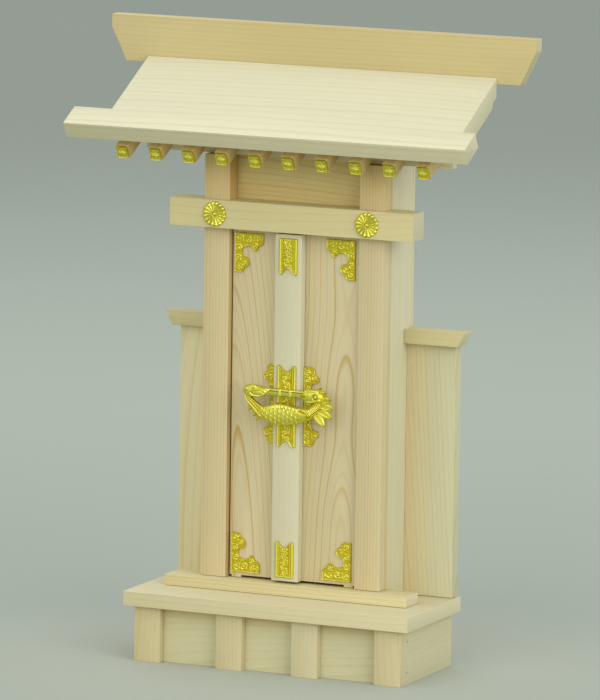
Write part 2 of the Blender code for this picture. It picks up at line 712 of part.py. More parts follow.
def fish_lock():
    """Fish-shaped lock hung in front of the lock plates: the body is bent into a bow, the
    head turns back to one end of the bar and the tail curls over the other."""
    back = COVER_FACE_Y - PLATE_THICK - 2 * GAP
    centre_y = back - LOCK_DEPTH / 2
    body = (
        (-41.0, 12.0, 1.6), (-38.6, 7.6, 2.9), (-34.2, 3.4, 3.4), (-30.0, 0.0, 4.0),
        (-25.4, -3.6, 5.2), (-20.4, -6.2, 6.8), (-13.0, -7.1, 9.5), (-3.0, -6.9, 11.3),
        (9.0, -7.0, 10.2), (19.5, -6.6, 8.0), (28.2, -4.4, 6.4), (34.8, 0.8, 5.6),
        (39.6, 6.4, 4.8), (43.0, 11.6, 3.8), (44.0, 16.0, 1.8),
    )
    head = (
        (46.0, 13.0, 2.4), (43.0, 13.2, 5.4), (38.5, 13.5, 7.2), (33.0, 13.6, 7.5),
        (28.0, 13.6, 6.6), (24.2, 13.6, 5.0), (21.8, 14.2, 3.4), (20.2, 15.2, 1.6),
    )
    tail = (
        (-14.8, 17.4, 1.0), (-19.0, 16.2, 3.6), (-25.0, 15.0, 5.6), (-31.5, 14.8, 6.6),
        (-37.5, 15.0, 6.0), (-41.5, 13.6, 4.0), (-43.4, 12.4, 1.4),
    )
    fins = (
        ((37.0, 16.5), (43.6, 24.0), 6.5), ((41.0, 13.5), (49.0, 18.8), 7.5),
        ((42.5, 9.0), (54.2, 11.8), 8.5), ((42.0, 4.5), (57.0, 2.4), 9.0),
        ((39.0, 0.5), (55.4, -7.2), 9.5), ((35.0, -2.5), (47.2, -16.2), 10.0),
        ((-33.5, 1.5), (-38.0, -5.6), 6.0), ((-29.0, -2.5), (-32.0, -11.4), 6.5),
        ((-23.5, -6.5), (-28.6, -15.2), 6.5),
    )
    lock = fish_form(body, centre_y)
    combine(lock, fish_form(head, centre_y), "UNION")
    combine(lock, fish_form(tail, centre_y), "UNION")
    for root, tip, width in fins:
        combine(lock, fin(root, tip, width, centre_y), "UNION")
    bar_z = LOCK_Z + LOCK_BAR_RISE
    half = LOCK_BAR_LENGTH / 2
    bar = board("bar", (COVER_X - half, COVER_X + half), (back - LOCK_BAR_DEPTH, back),
                (bar_z - LOCK_BAR_HEIGHT / 2, bar_z + LOCK_BAR_HEIGHT / 2), GILT)
    combine(lock, bar, "UNION")
    for side in (-1, 1):
        x = COVER_X + STAPLE_X + side * STAPLE_SPACING / 2
        staple = board("staple", (x - STAPLE_WIDTH / 2, x + STAPLE_WIDTH / 2),
                       (back - LOCK_BAR_DEPTH - STAPLE_PROUD, back),
                       (bar_z - STAPLE_HEIGHT / 2, bar_z + STAPLE_HEIGHT / 2), GILT)
        combine(lock, staple, "UNION")
    return lock


def doors():
    """Two doors, the cover strip and lock on the left one, and the gilt fittings."""
    for name, side in SIDES.items():
        axis = hinge(name, side)
        hang(axis, door(name, side))
        hang(axis, corner_plate(f"corner_top_{name}", side, 1))
        hang(axis, corner_plate(f"corner_bottom_{name}", side, -1))
        hang(axis, side_plate(name, side))
        if name == "left":
            hang_cover(axis)


def hang_cover(axis):
    """The cover strip with its three fittings and the lock, all on the left door."""
    cover = board("cover_strip", (COVER_LEFT_X, COVER_RIGHT_X), (COVER_FACE_Y, DOOR_FACE_Y - GAP),
                  (DOOR_FOOT, DOOR_HEAD), PALE_WOOD)
    head = DOOR_HEAD - COVER_PLATE_HEAD_GAP
    foot = DOOR_FOOT + COVER_PLATE_FOOT_GAP
    half = LOCK_PLATE_HEIGHT / 2
    hang(axis, cover)
    hang(axis, strip_plate("strip_fitting_top", head, head - COVER_PLATE_HEIGHT, False, True))
    hang(axis, strip_plate("strip_fitting_bottom", foot + COVER_PLATE_HEIGHT, foot, True, False))
    hang(axis, strip_plate("lock_plate_centre", LOCK_Z + half, LOCK_Z - half, True, True))
    hang(axis, fish_lock())


def main():
    """Build the whole shrine."""
    start_empty()
    base_box()
    cabinet()
    wings()
    roof()
    for name, side in SIDES.items():
        crest(f"crest_{name}", side * CREST_SPACING / 2)
    doors()


main()
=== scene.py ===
"""Finish of a kamidana, a household shrine of plain conifer wood with gilt fittings.

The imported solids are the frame. Every board gets eased edges and its own sawn grain, and every
gilt fitting is a chased surface worked out from formulas. Metres, +Z up, the doors face -Y.
"""

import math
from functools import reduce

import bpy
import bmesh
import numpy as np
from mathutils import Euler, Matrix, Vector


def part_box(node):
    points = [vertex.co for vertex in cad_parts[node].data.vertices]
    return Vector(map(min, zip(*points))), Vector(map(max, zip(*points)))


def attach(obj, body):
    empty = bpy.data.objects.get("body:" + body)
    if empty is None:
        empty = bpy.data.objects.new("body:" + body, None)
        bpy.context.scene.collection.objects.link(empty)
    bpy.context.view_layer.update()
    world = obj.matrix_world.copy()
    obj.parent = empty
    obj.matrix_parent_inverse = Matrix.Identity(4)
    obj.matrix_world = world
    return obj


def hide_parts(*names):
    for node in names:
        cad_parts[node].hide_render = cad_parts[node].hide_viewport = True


bl_info = {
    "name": "Kamidana Finish",
    "version": (1, 0, 0),
    "blender": (4, 5, 0),
    "location": "3D View > Sidebar > Kamidana",
    "description": "Planed boards, chased gilt fittings and a fish lock for a household shrine",
    "category": "Object",
}

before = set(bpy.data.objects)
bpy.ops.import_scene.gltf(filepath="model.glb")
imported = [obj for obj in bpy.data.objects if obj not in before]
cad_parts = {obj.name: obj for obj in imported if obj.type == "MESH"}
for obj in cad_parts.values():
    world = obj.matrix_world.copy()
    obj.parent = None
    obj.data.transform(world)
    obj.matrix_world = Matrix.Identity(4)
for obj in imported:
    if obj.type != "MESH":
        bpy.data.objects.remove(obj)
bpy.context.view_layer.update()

MM = 0.001
SHARP_ANGLE = math.radians(50)
# Height of a gilt sheet at its very edge
SHEET = 0.35 * MM

# The roof's slope, and how the grain of a board runs: the turn that brings it upright
ROOF_SLOPE = math.radians(28.5)
GRAIN_TURN = {
    "upright": (0.0, 0.0, 0.0),
    "across": (0.0, -math.pi / 2, 0.0),
    "deep": (math.pi / 2, 0.0, 0.0),
    "up the slope": (math.pi / 2 - ROOF_SLOPE, 0.0, 0.0),
}

# Length of the waves along the trunk that Swell gives the rings
SWELL_LENGTH = 103 * MM

# Camera, solved from straight edges of the shrine
CAMERA_PLACE = (2.2625, -4.9736, 1.0851)
CAMERA_YAW = 0.42624
CAMERA_PITCH = -0.15171
CAMERA_ROLL = 0.01370
CAMERA_LENS = 424.47
CAMERA_SENSOR = 36.0


class WoodSettings(bpy.types.PropertyGroup):
    """Colours of the bare wood and the shape of its edges."""

    pale: bpy.props.FloatVectorProperty(
        name="Pale wood", description="Sapwood between the rings of the pale boards",
        subtype="COLOR", size=3, min=0.0, max=1.0, default=(0.70, 0.615, 0.365))
    warm: bpy.props.FloatVectorProperty(
        name="Warm wood", description="Wood between the rings of pillars, doors and panels",
        subtype="COLOR", size=3, min=0.0, max=1.0, default=(0.66, 0.55, 0.315))
    roof: bpy.props.FloatVectorProperty(
        name="Roof wood", description="Wood between the rings of the roof board",
        subtype="COLOR", size=3, min=0.0, max=1.0, default=(0.69, 0.655, 0.445))
    ring: bpy.props.FloatVectorProperty(
        name="Ring lines", description="Late wood, the dark line that ends each year's ring",
        subtype="COLOR", size=3, min=0.0, max=1.0, default=(0.50, 0.325, 0.075))
    end: bpy.props.FloatVectorProperty(
        name="End grain", description="Colour of the sawn board ends",
        subtype="COLOR", size=3, min=0.0, max=1.0, default=(0.62, 0.585, 0.385))
    edge: bpy.props.FloatProperty(
        name="Eased edge", description="Width of the rounding along each board's edges",
        unit="LENGTH", min=0.0, max=0.002, default=0.0003)


class GiltSettings(bpy.types.PropertyGroup):
    """Colours of the gilding and the depth of its relief."""

    bright: bpy.props.FloatVectorProperty(
        name="Bright gilding", description="Reflection of the burnished high parts",
        subtype="COLOR", size=3, min=0.0, max=1.0, default=(0.79, 0.745, 0.155))
    deep: bpy.props.FloatVectorProperty(
        name="Deep gilding", description="Reflection of the ground between the scrolls",
        subtype="COLOR", size=3, min=0.0, max=1.0, default=(0.69, 0.60, 0.018))
    relief: bpy.props.FloatProperty(
        name="Relief", description="Height of the chased scrolls above the ground of a plate",
        unit="LENGTH", min=0.0, max=0.002, default=0.00062)


class StageSettings(bpy.types.PropertyGroup):
    """The studio round the shrine."""

    floor: bpy.props.FloatVectorProperty(
        name="Floor", description="Colour of the pale floor where it is lightest",
        subtype="COLOR", size=3, min=0.0, max=1.0, default=(0.400, 0.440, 0.368))
    key: bpy.props.FloatProperty(
        name="Key light", description="Soft light from the right, in watts per square metre",
        min=0.0, default=1.25)
    front: bpy.props.FloatProperty(
        name="Front light", description="Soft light from the front, in watts per square metre",
        min=0.0, default=0.66)
    top: bpy.props.FloatProperty(
        name="Top light", description="Soft light from above, in watts per square metre",
        min=0.0, default=0.80)
    fill: bpy.props.FloatProperty(
        name="Fill", description="Strength of the even light from all round",
        min=0.0, default=0.66)


class Wiring:
    """Adds nodes to one tree and joins them, so that a finish reads as a list of steps."""

    def __init__(self, tree):
        self.tree = tree

    def add(self, kind, **settings):
        """One node of a kind, with its settings."""
        node = self.tree.nodes.new(kind)
        for key, value in settings.items():
            setattr(node, key, value)
        return node

    def feed(self, socket, value):
        """Join an output to a socket, or put a number or a colour straight into it."""
        if isinstance(value, bpy.types.NodeSocket):
            self.tree.links.new(value, socket)
        else:
            socket.default_value = value

    def math(self, operation, *values):
        """Output of a Math node."""
        node = self.add("ShaderNodeMath", operation=operation)
        for socket, value in zip(node.inputs, values):
            self.feed(socket, value)
        return node.outputs[0]

    def split(self, vector):
        """The three parts of a vector."""
        node = self.add("ShaderNodeSeparateXYZ")
        self.feed(node.inputs[0], vector)
        return node.outputs

    def join(self, x, y, z):
        """A vector from three parts."""
        node = self.add("ShaderNodeCombineXYZ")
        for socket, value in zip(node.inputs, (x, y, z)):
            self.feed(socket, value)
        return node.outputs[0]

    def stretched(self, parts, shares):
        """A vector whose parts are each multiplied by a number."""
        return self.join(*[self.math("MULTIPLY", part, share) for part, share in zip(parts, shares)])

    def noise(self, vector, scale=1.0, detail=2.0, roughness=0.5, output=0):
        """Noise over a vector, or along one line where it is given a single number."""
        single = isinstance(vector, bpy.types.NodeSocketFloat)
        node = self.add("ShaderNodeTexNoise", noise_dimensions="1D" if single else "3D")
        self.feed(node.inputs["W" if single else "Vector"], vector)
        node.inputs["Scale"].default_value = scale
        node.inputs["Detail"].default_value = detail
        node.inputs["Roughness"].default_value = roughness
        return node.outputs[output]

    def ease(self, value, low, high, start=0.0, end=1.0):
        """Smooth step from start, where value is low, to end, where it is high."""
        node = self.add("ShaderNodeMapRange", interpolation_type="SMOOTHSTEP")
        for socket, number in zip(node.inputs, (value, low, high, start, end)):
            self.feed(socket, number)
        return node.outputs[0]

    def bump(self, height, strength, distance):
        """Normal of a surface that height raises by up to a distance."""
        node = self.add("ShaderNodeBump")
        node.inputs["Strength"].default_value = strength
        node.inputs["Distance"].default_value = distance
        self.feed(node.inputs["Height"], height)
        return node.outputs[0]

    def mix(self, share, first, second, blend="MIX"):
        """Two colours mixed by a share."""
        node = self.add("ShaderNodeMix", data_type="RGBA", blend_type=blend)
        for index, value in ((0, share), (6, first), (7, second)):
            self.feed(node.inputs[index], value)
        return node.outputs[2]


def rgba(colour, light=1.0):
    """A colour as four numbers of 1 at most, made lighter or darker by a factor."""
    return (*[min(1.0, part * light) for part in colour], 1.0)


def new_finish(name):
    """A new material, with the wiring of its nodes and its shader."""
    material = bpy.data.materials.new(name)
    material.use_nodes = True
    return material, Wiring(material.node_tree), material.node_tree.nodes["Principled BSDF"]


def growth_rings():
    """Node group that cuts a tree: Place is a point with the trunk upright on Z and the pith
    at 0, 0. The distance from the pith, wavered by noise and bent along the trunk by Tilt, Lean,
    Sweep and the waves of Swell, is counted in rings. Late is the dark end of each ring, Fibre
    the fine streaks along the trunk and Cloud the slow change of tone."""
    if "growth_rings" in bpy.data.node_groups:
        return bpy.data.node_groups["growth_rings"]
    tree = bpy.data.node_groups.new("growth_rings", "ShaderNodeTree")
    tree.interface.new_socket("Place", in_out="INPUT", socket_type="NodeSocketVector")
    for name in ("Ring", "Waver", "Tilt", "Lean", "Sweep", "Phase", "Drift", "Broad", "Swell"):
        tree.interface.new_socket(name, in_out="INPUT", socket_type="NodeSocketFloat")
    for name in ("Late", "Fibre", "Cloud"):
        tree.interface.new_socket(name, in_out="OUTPUT", socket_type="NodeSocketFloat")
    wire = Wiring(tree)
    given = wire.add("NodeGroupInput").outputs
    x, y, z = wire.split(given["Place"])

    # The place across and behind the trunk's axis, bent along it and wavered by slow noise
    slow = wire.stretched((x, y, z), (24.0, 24.0, 5.5))
    slow_x, slow_y, _ = wire.split(wire.noise(slow, roughness=0.45, output="Color"))
    shift_x = wire.math("MULTIPLY", wire.math("SUBTRACT", slow_x, 0.5), given["Waver"])
    shift_y = wire.math("MULTIPLY", wire.math("SUBTRACT", slow_y, 0.5), given["Waver"])
    bend = wire.math("MULTIPLY", z, wire.math("MULTIPLY_ADD", given["Sweep"], z, given["Lean"]))
    swell = wire.math("SINE", wire.math("MULTIPLY", z, math.tau / SWELL_LENGTH))
    bend = wire.math("MULTIPLY_ADD", given["Swell"], swell, bend)
    upright = wire.math("SUBTRACT", x, wire.math("MULTIPLY", z, given["Tilt"]))
    across = wire.math("ADD", upright, shift_x)
    depth = wire.math("ADD", wire.math("ADD", y, bend), shift_y)

    # Rings counted outward, some years wider than others
    square = wire.math("MULTIPLY_ADD", across, across, wire.math("MULTIPLY", depth, depth))
    radius = wire.math("SQRT", square)
    years = wire.math("ADD", wire.math("DIVIDE", radius, given["Ring"]), given["Phase"])
    weather = wire.noise(radius, scale=75.0, detail=1.0)
    drift = wire.math("MULTIPLY", wire.math("SUBTRACT", weather, 0.5), given["Drift"])
    years = wire.math("ADD", years, drift)

    # Each ring darkens to its end and stops sharply, and has two or three finer lines besides
    darkest = 0.95
    fine_lines_per_ring = 2.7
    season = wire.math("FRACT", years)
    turning = wire.math("SUBTRACT", darkest, given["Broad"])
    rise = wire.math("POWER", wire.ease(season, turning, darkest), 2.2)
    stop = wire.ease(season, 0.955, 1.0, 1.0, 0.0)
    bold = wire.noise(wire.math("FLOOR", years), scale=3.7, detail=0.0)
    weight = wire.ease(bold, 0.25, 0.75, 0.45, 1.0)
    late = wire.math("MULTIPLY", wire.math("MULTIPLY", rise, stop), weight)
    finer = wire.math("MULTIPLY_ADD", years, fine_lines_per_ring, drift)
    finer = wire.ease(wire.math("PINGPONG", finer, 0.5), 0.3, 0.5, 0.0, 0.22)
    late = wire.math("MAXIMUM", late, finer)

    fibre = wire.noise(wire.stretched((x, y, z), (2300.0, 2300.0, 70.0)), roughness=0.6)
    cloud = wire.noise(wire.stretched((across, depth, z), (60.0, 60.0, 7.0)))
    out = wire.add("NodeGroupOutput").inputs
    wire.feed(out["Late"], late)
    wire.feed(out["Fibre"], fibre)
    wire.feed(out["Cloud"], cloud)
    return tree


def wood_finish(name, tone, grain, centre, pith, mark, fades, numbers):
    """Bare planed wood sawn from one tree. pith is the pith's place from the board's centre, in
    millimetres. mark is how strongly the ring lines show. Each fade is an axis, where along it a
    change of tone starts and ends, and the tint it ends in: most fades are painted shade or
    painted light on part of a board, and some only darken a board towards one side. End grain
    has a tone of its own and is rougher."""
    material, wire, shader = new_finish(name)

    # The board's place in its tree
    turn = Euler(GRAIN_TURN[grain])
    start = Vector(centre) + Vector(pith) * MM
    spot = wire.add("ShaderNodeTexCoord")
    trunk = wire.add("ShaderNodeMapping")
    wire.feed(trunk.inputs["Vector"], spot.outputs["Object"])
    trunk.inputs["Rotation"].default_value = turn
    trunk.inputs["Location"].default_value = -(turn.to_matrix() @ start)
    rings = wire.add("ShaderNodeGroup", node_tree=growth_rings())
    wire.feed(rings.inputs["Place"], trunk.outputs[0])
    for key, value in numbers.items():
        rings.inputs[key].default_value = value
    late, fibre, cloud = rings.outputs

    # Board ends are the faces square to the trunk
    facing = wire.add("ShaderNodeVectorMath", operation="DOT_PRODUCT")
    wire.feed(facing.inputs[0], spot.outputs["Normal"])
    facing.inputs[1].default_value = turn.to_matrix().transposed() @ Vector((0.0, 0.0, 1.0))
    end_grain = wire.ease(wire.math("ABSOLUTE", facing.outputs["Value"]), 0.6, 0.9)

    # Slow clouds, ring lines and streaks, then the end grain, and over them the fades, most of which
    # are painted shade and light
    wood = bpy.context.scene.kamidana_wood
    body = wire.mix(wire.ease(cloud, 0.3, 0.7), rgba(tone, 0.988), rgba(tone, 1.012))
    body = wire.mix(wire.math("MULTIPLY", late, mark), body, rgba(wood.ring))
    streak = wire.ease(fibre, 0.25, 0.75, 0.965, 1.03)
    body = wire.mix(1.0, body, wire.join(streak, streak, streak), "MULTIPLY")
    body = wire.mix(wire.math("MULTIPLY", end_grain, 0.8), body, rgba(wood.end))
    for axis, fade_start, fade_end, tint in fades:
        along = wire.ease(wire.split(spot.outputs["Object"])[axis], fade_start, fade_end)
        body = wire.mix(along, body, wire.mix(1.0, body, rgba(tint), "MULTIPLY"))
    wire.feed(shader.inputs["Base Color"], body)

    # Planed wood with a low sheen, whose ring lines and fibres stand up by a hair
    planed = wire.ease(fibre, 0.2, 0.8, 0.52, 0.66)
    wire.feed(shader.inputs["Roughness"], wire.math("MULTIPLY_ADD", end_grain, 0.15, planed))
    shader.inputs["Specular IOR Level"].default_value = 0.35
    height = wire.math("MULTIPLY_ADD", late, 0.6, wire.math("MULTIPLY", fibre, 0.35))
    wire.feed(shader.inputs["Normal"], wire.bump(height, 0.35, 0.06 * MM))
    return material


def add_object(name, data):
    """A new object in the scene, with its mesh, light or camera."""
    piece = bpy.data.objects.new(name, data)
    bpy.context.scene.collection.objects.link(piece)
    return piece


def board(node, slot, grain, pith, ring, mark, tint=(1.0, 1.0, 1.0), body="shrine", waver=2.2,
          tilt=0.0, lean=0.0, sweep=0.0, phase=0.0, drift=0.6, broad=0.6, swell=0.0, fades=(),
          reach_x=0.0):
    """A board with eased edges in the place of a node: its corners are merged, its flat
    triangles joined into faces, and a bevel rounds every edge. Its wood has the slot's tone,
    tinted colour by colour. ring, waver and swell are in millimetres, and mark is how strongly
    the ring lines show. reach_x, in millimetres, takes the board's end on that side up to the
    board it is butted against."""
    wood = bpy.context.scene.kamidana_wood
    base = {"pale_wood": wood.pale, "warm_wood": wood.warm, "roof_wood": wood.roof}[slot]
    tone = [part * share for part, share in zip(base, tint)]
    one_spot = 0.01 * MM
    one_face = math.radians(0.5)
    shape = bmesh.new()
    shape.from_mesh(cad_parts[node].data)
    bmesh.ops.remove_doubles(shape, verts=shape.verts, dist=one_spot)
    bmesh.ops.dissolve_limit(shape, angle_limit=one_face, verts=shape.verts, edges=shape.edges)
    low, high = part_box(node)
    butt = low.x if reach_x < 0.0 else high.x
    end = [corner for corner in shape.verts if abs(corner.co.x - butt) < one_spot]
    bmesh.ops.translate(shape, verts=end, vec=(reach_x * MM, 0.0, 0.0))
    mesh = bpy.data.meshes.new(f"{node}_planed")
    shape.to_mesh(mesh)
    shape.free()
    numbers = {"Ring": ring * MM, "Waver": waver * MM, "Tilt": tilt, "Lean": lean, "Sweep": sweep,
               "Phase": phase, "Drift": drift, "Broad": broad, "Swell": swell * MM}
    size = high - low
    placed = [(axis, low[axis] + start * size[axis], low[axis] + stop * size[axis], shade)
              for axis, start, stop, shade in fades]
    mesh.materials.append(wood_finish(
        f"{node}_wood", tone, grain, (low + high) / 2, pith, mark, placed, numbers))
    mesh.shade_smooth()
    piece = add_object(mesh.name, mesh)
    edge = piece.modifiers.new("eased edges", "BEVEL")
    edge.width = wood.edge
    edge.segments = 2
    edge.limit_method = "ANGLE"
    edge.angle_limit = math.radians(20)
    edge.harden_normals = True
    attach(piece, body)
    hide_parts(node)


def gilt_finish():
    """Gilt sheet: burnished where the relief attribute is high, darker and rougher in the
    ground, with a slow change of tone and fine scratches. The darker ground is partly patina
    and partly painted shade."""
    if "chased_gilt" in bpy.data.materials:
        return bpy.data.materials["chased_gilt"]
    gilt = bpy.context.scene.kamidana_gilt
    material, wire, shader = new_finish("chased_gilt")
    spot = wire.add("ShaderNodeTexCoord").outputs["Object"]
    relief = wire.add("ShaderNodeAttribute", attribute_name="relief").outputs["Fac"]
    wear = wire.noise(spot, scale=420.0, detail=3.0)
    slow = wire.noise(spot, scale=60.0)

    # High parts are worn bright, and crevices turn darker and warmer: partly patina in the hollows,
    # partly painted shade
    high = wire.ease(wire.math("MULTIPLY_ADD", wear, 0.25, relief), 0.18, 0.75)
    colour = wire.mix(high, rgba(gilt.deep), rgba(gilt.bright))
    colour = wire.mix(wire.ease(slow, 0.35, 0.7, 0.0, 0.22), colour, rgba(gilt.deep))
    crevice_patina_and_shade = wire.ease(relief, 0.0, 0.26, 0.69, 1.0)
    warm = wire.join(wire.math("POWER", crevice_patina_and_shade, 0.6), crevice_patina_and_shade, wire.math("POWER", crevice_patina_and_shade, 2.4))
    colour = wire.mix(1.0, colour, warm, "MULTIPLY")
    wire.feed(shader.inputs["Base Color"], colour)
    shader.inputs["Metallic"].default_value = 1.0
    burnish = wire.ease(high, 0.0, 1.0, 0.46, 0.41)
    scratches = wire.ease(wear, 0.3, 0.8, 0.0, 0.10)
    wire.feed(shader.inputs["Roughness"], wire.math("ADD", burnish, scratches))
    grit = wire.noise(spot, scale=1500.0, detail=3.0)
    wire.feed(shader.inputs["Normal"], wire.bump(grit, 0.25, 0.03 * MM))
    return material


def closed_mesh(name, parts):
    """One mesh from closed parts, whose first two items are points and faces, with its faces
    outward and shaded smooth except over sharp edges."""
    faces = []
    start = 0
    for part in parts:
        faces += [[corner + start for corner in face] for face in part[1]]
        start += len(part[0])
    mesh = bpy.data.meshes.new(name)
    mesh.from_pydata(np.concatenate([part[0] for part in parts]), [], faces)
    shape = bmesh.new()
    shape.from_mesh(mesh)
    bmesh.ops.recalc_face_normals(shape, faces=shape.faces)
    shape.to_mesh(mesh)
    shape.free()
    mesh.shade_smooth()
    mesh.set_sharp_from_angle(angle=SHARP_ANGLE)
    return mesh


def gilt_piece(node, parts, body):
    """One gilt piece from closed parts, each (points, faces, relief), in the place of a node."""
    mesh = closed_mesh(f"{node}_chased", parts)
    relief = mesh.attributes.new("relief", "FLOAT", "POINT")
    relief.data.foreach_set("value", np.concatenate([part[2] for part in parts]))
    mesh.materials.append(gilt_finish())
    piece = add_object(mesh.name, mesh)
    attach(piece, body)
    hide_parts(node)


def unit(value):
    """A value held between 0 and 1."""
    return np.clip(value, 0.0, 1.0)


def wave(angle):
    """Cosine wave between 0 and 1."""
    return 0.5 + 0.5 * np.cos(angle)


def highest(*layers):
    """The highest of some layers of relief at each point."""
    return reduce(np.maximum, layers)


def lowest(*distances):
    """The shortest of some distances at each point."""
    return reduce(np.minimum, distances)


def circle(steps):
    """Angles at even steps round a circle, as one row."""
    return np.linspace(0.0, math.tau, steps, endpoint=False)[None, :]


def grid_points(x, y, z):
    """Points from grids of x, y and z, or from rows and columns that make up such grids."""
    return np.stack(np.broadcast_arrays(x, y, z), axis=-1).reshape(-1, 3)


def grid_faces(rows, columns, around=False, looped=False):
    """Quads over a grid of points. Its last column is joined to its first where it goes
    around, and its last row to its first where it is looped."""
    index = np.arange(rows * columns).reshape(rows, columns)
    index = np.pad(index, ((0, int(looped)), (0, int(around))), mode="wrap")
    corners = (index[:-1, :-1], index[:-1, 1:], index[1:, 1:], index[1:, :-1])
    return np.stack(corners, axis=-1).reshape(-1, 4).tolist()


def tube_faces(rings, sides):
    """Quads of a tube of rings, closed at both ends by one flat face each."""
    last = (rings - 1) * sides
    ends = [list(range(sides)), list(range(last, last + sides))]
    return grid_faces(rings, sides, around=True) + ends


def relief_plate(a, b, height, relief, place):
    """A closed plate: the chased front over the grid (a, b), a wall from its border straight
    back to height 0, and one flat back face. place turns (a, b, height) into x, y, z."""
    rows, columns = a.shape
    index = np.arange(rows * columns).reshape(rows, columns)
    border = np.concatenate([index[0, :-1], index[:-1, -1], index[-1, :0:-1], index[:0:-1, 0]])
    front = place(a.ravel(), b.ravel(), height.ravel())
    back = place(a.ravel()[border], b.ravel()[border], np.zeros(len(border)))
    behind = np.arange(len(border)) + rows * columns
    wall = np.stack([border, np.roll(border, -1), np.roll(behind, -1), behind], axis=-1)
    faces = grid_faces(rows, columns) + wall.tolist() + [behind.tolist()]
    return (np.concatenate([front, back]), faces,
            np.concatenate([relief.ravel(), np.full(len(border), 0.3)]))


def facing_front(y):
    """Place for plates on an upright board: a is x, b is z and height comes forward from y."""
    def place(a, b, height):
        return grid_points(a, y - height, b)
    return place


def bowed(start, end, bulge, steps):
    """Points from start up to end on a line, or on an arc that swells by bulge times its half
    length to the left: the offset is bulge times 2 t (1 - t) of the run."""
    t = np.linspace(0.0, 1.0, steps)
    run = (end[0] - start[0], end[1] - start[1])
    swell = 2.0 * bulge * t * (1.0 - t)
    across = start[0] + run[0] * t - run[1] * swell
    up = start[1] + run[1] * t + run[0] * swell
    return np.stack([across, up], axis=-1)


def edge_fall(distance, width):
    """Rounded edge: the quarter circle that rises from 0 at the edge to 1 at a width inside."""
    share = unit(distance / width)
    return np.sqrt(1.0 - (1.0 - share) ** 2)


def ridge(distance, width):
    """Soft ridge: 1 on the line and 0 beyond a width, by a cosine."""
    return wave(math.pi * unit(np.abs(distance) / width))


def outline_run(start, end, bulge, size, pitch):
    """Points of one run of an outline, from start up to end, about a pitch apart. Both ends
    are given in shares of size."""
    length = np.hypot(*((np.array(end) - start) * size))
    steps = max(8, int(length / pitch))
    return bowed(np.array(start) * size, np.array(end) * size, bulge, steps)[:-1]


def ruled(first, last, steps):
    """Grid on the straight lines that join two edges point by point: a, b and the share of
    the way from the first edge to the last."""
    t = np.linspace(0.0, 1.0, steps)[:, None]
    a, b = (first[None, :, axis] * (1.0 - t) + last[None, :, axis] * t for axis in (0, 1))
    return a, b, t


def scrollwork(a, b, curls):
    """Leaf scrolls, from 0 to 1. Each curl is (a, b, radius, turn, start): a spiral ridge
    whose phase is the angle plus the logarithm of the distance from its eye, with lobed leaf
    edges and a bead in the eye. Where curls meet, the highest shows."""
    field = np.zeros_like(a)
    for centre_a, centre_b, radius, turn, start in curls:
        across = (a - centre_a) / radius
        along = (b - centre_b) / radius
        reach = np.hypot(across, along) + 1e-6
        angle = np.arctan2(along, across) * turn
        spiral = wave(angle + start + 5.2 * np.log(reach))
        leaf = 1.0 - 0.35 * wave(5.0 * angle + start) * unit(reach)
        inside = unit((1.12 * leaf + 0.18 - reach) / 0.22)
        eye = ridge(reach, 0.26)
        lobed = 0.72 + 0.28 * np.cos(4.0 * angle - 2.0 * start)
        field = highest(field, spiral ** 1.3 * lobed * inside, eye)
    return field


def pearls(a, b, pitch):
    """Ring-punched ground: a bead at each point of a staggered grid, from 0 to 1."""
    row = np.round(b / (pitch * 0.87))
    shift = np.where(np.mod(row, 2.0) > 0.5, 0.5, 0.0)
    across = a / pitch - shift
    off_a = (across - np.round(across)) * pitch
    off_b = b - row * pitch * 0.87
    return ridge(np.hypot(off_a, off_b), pitch * 0.5)


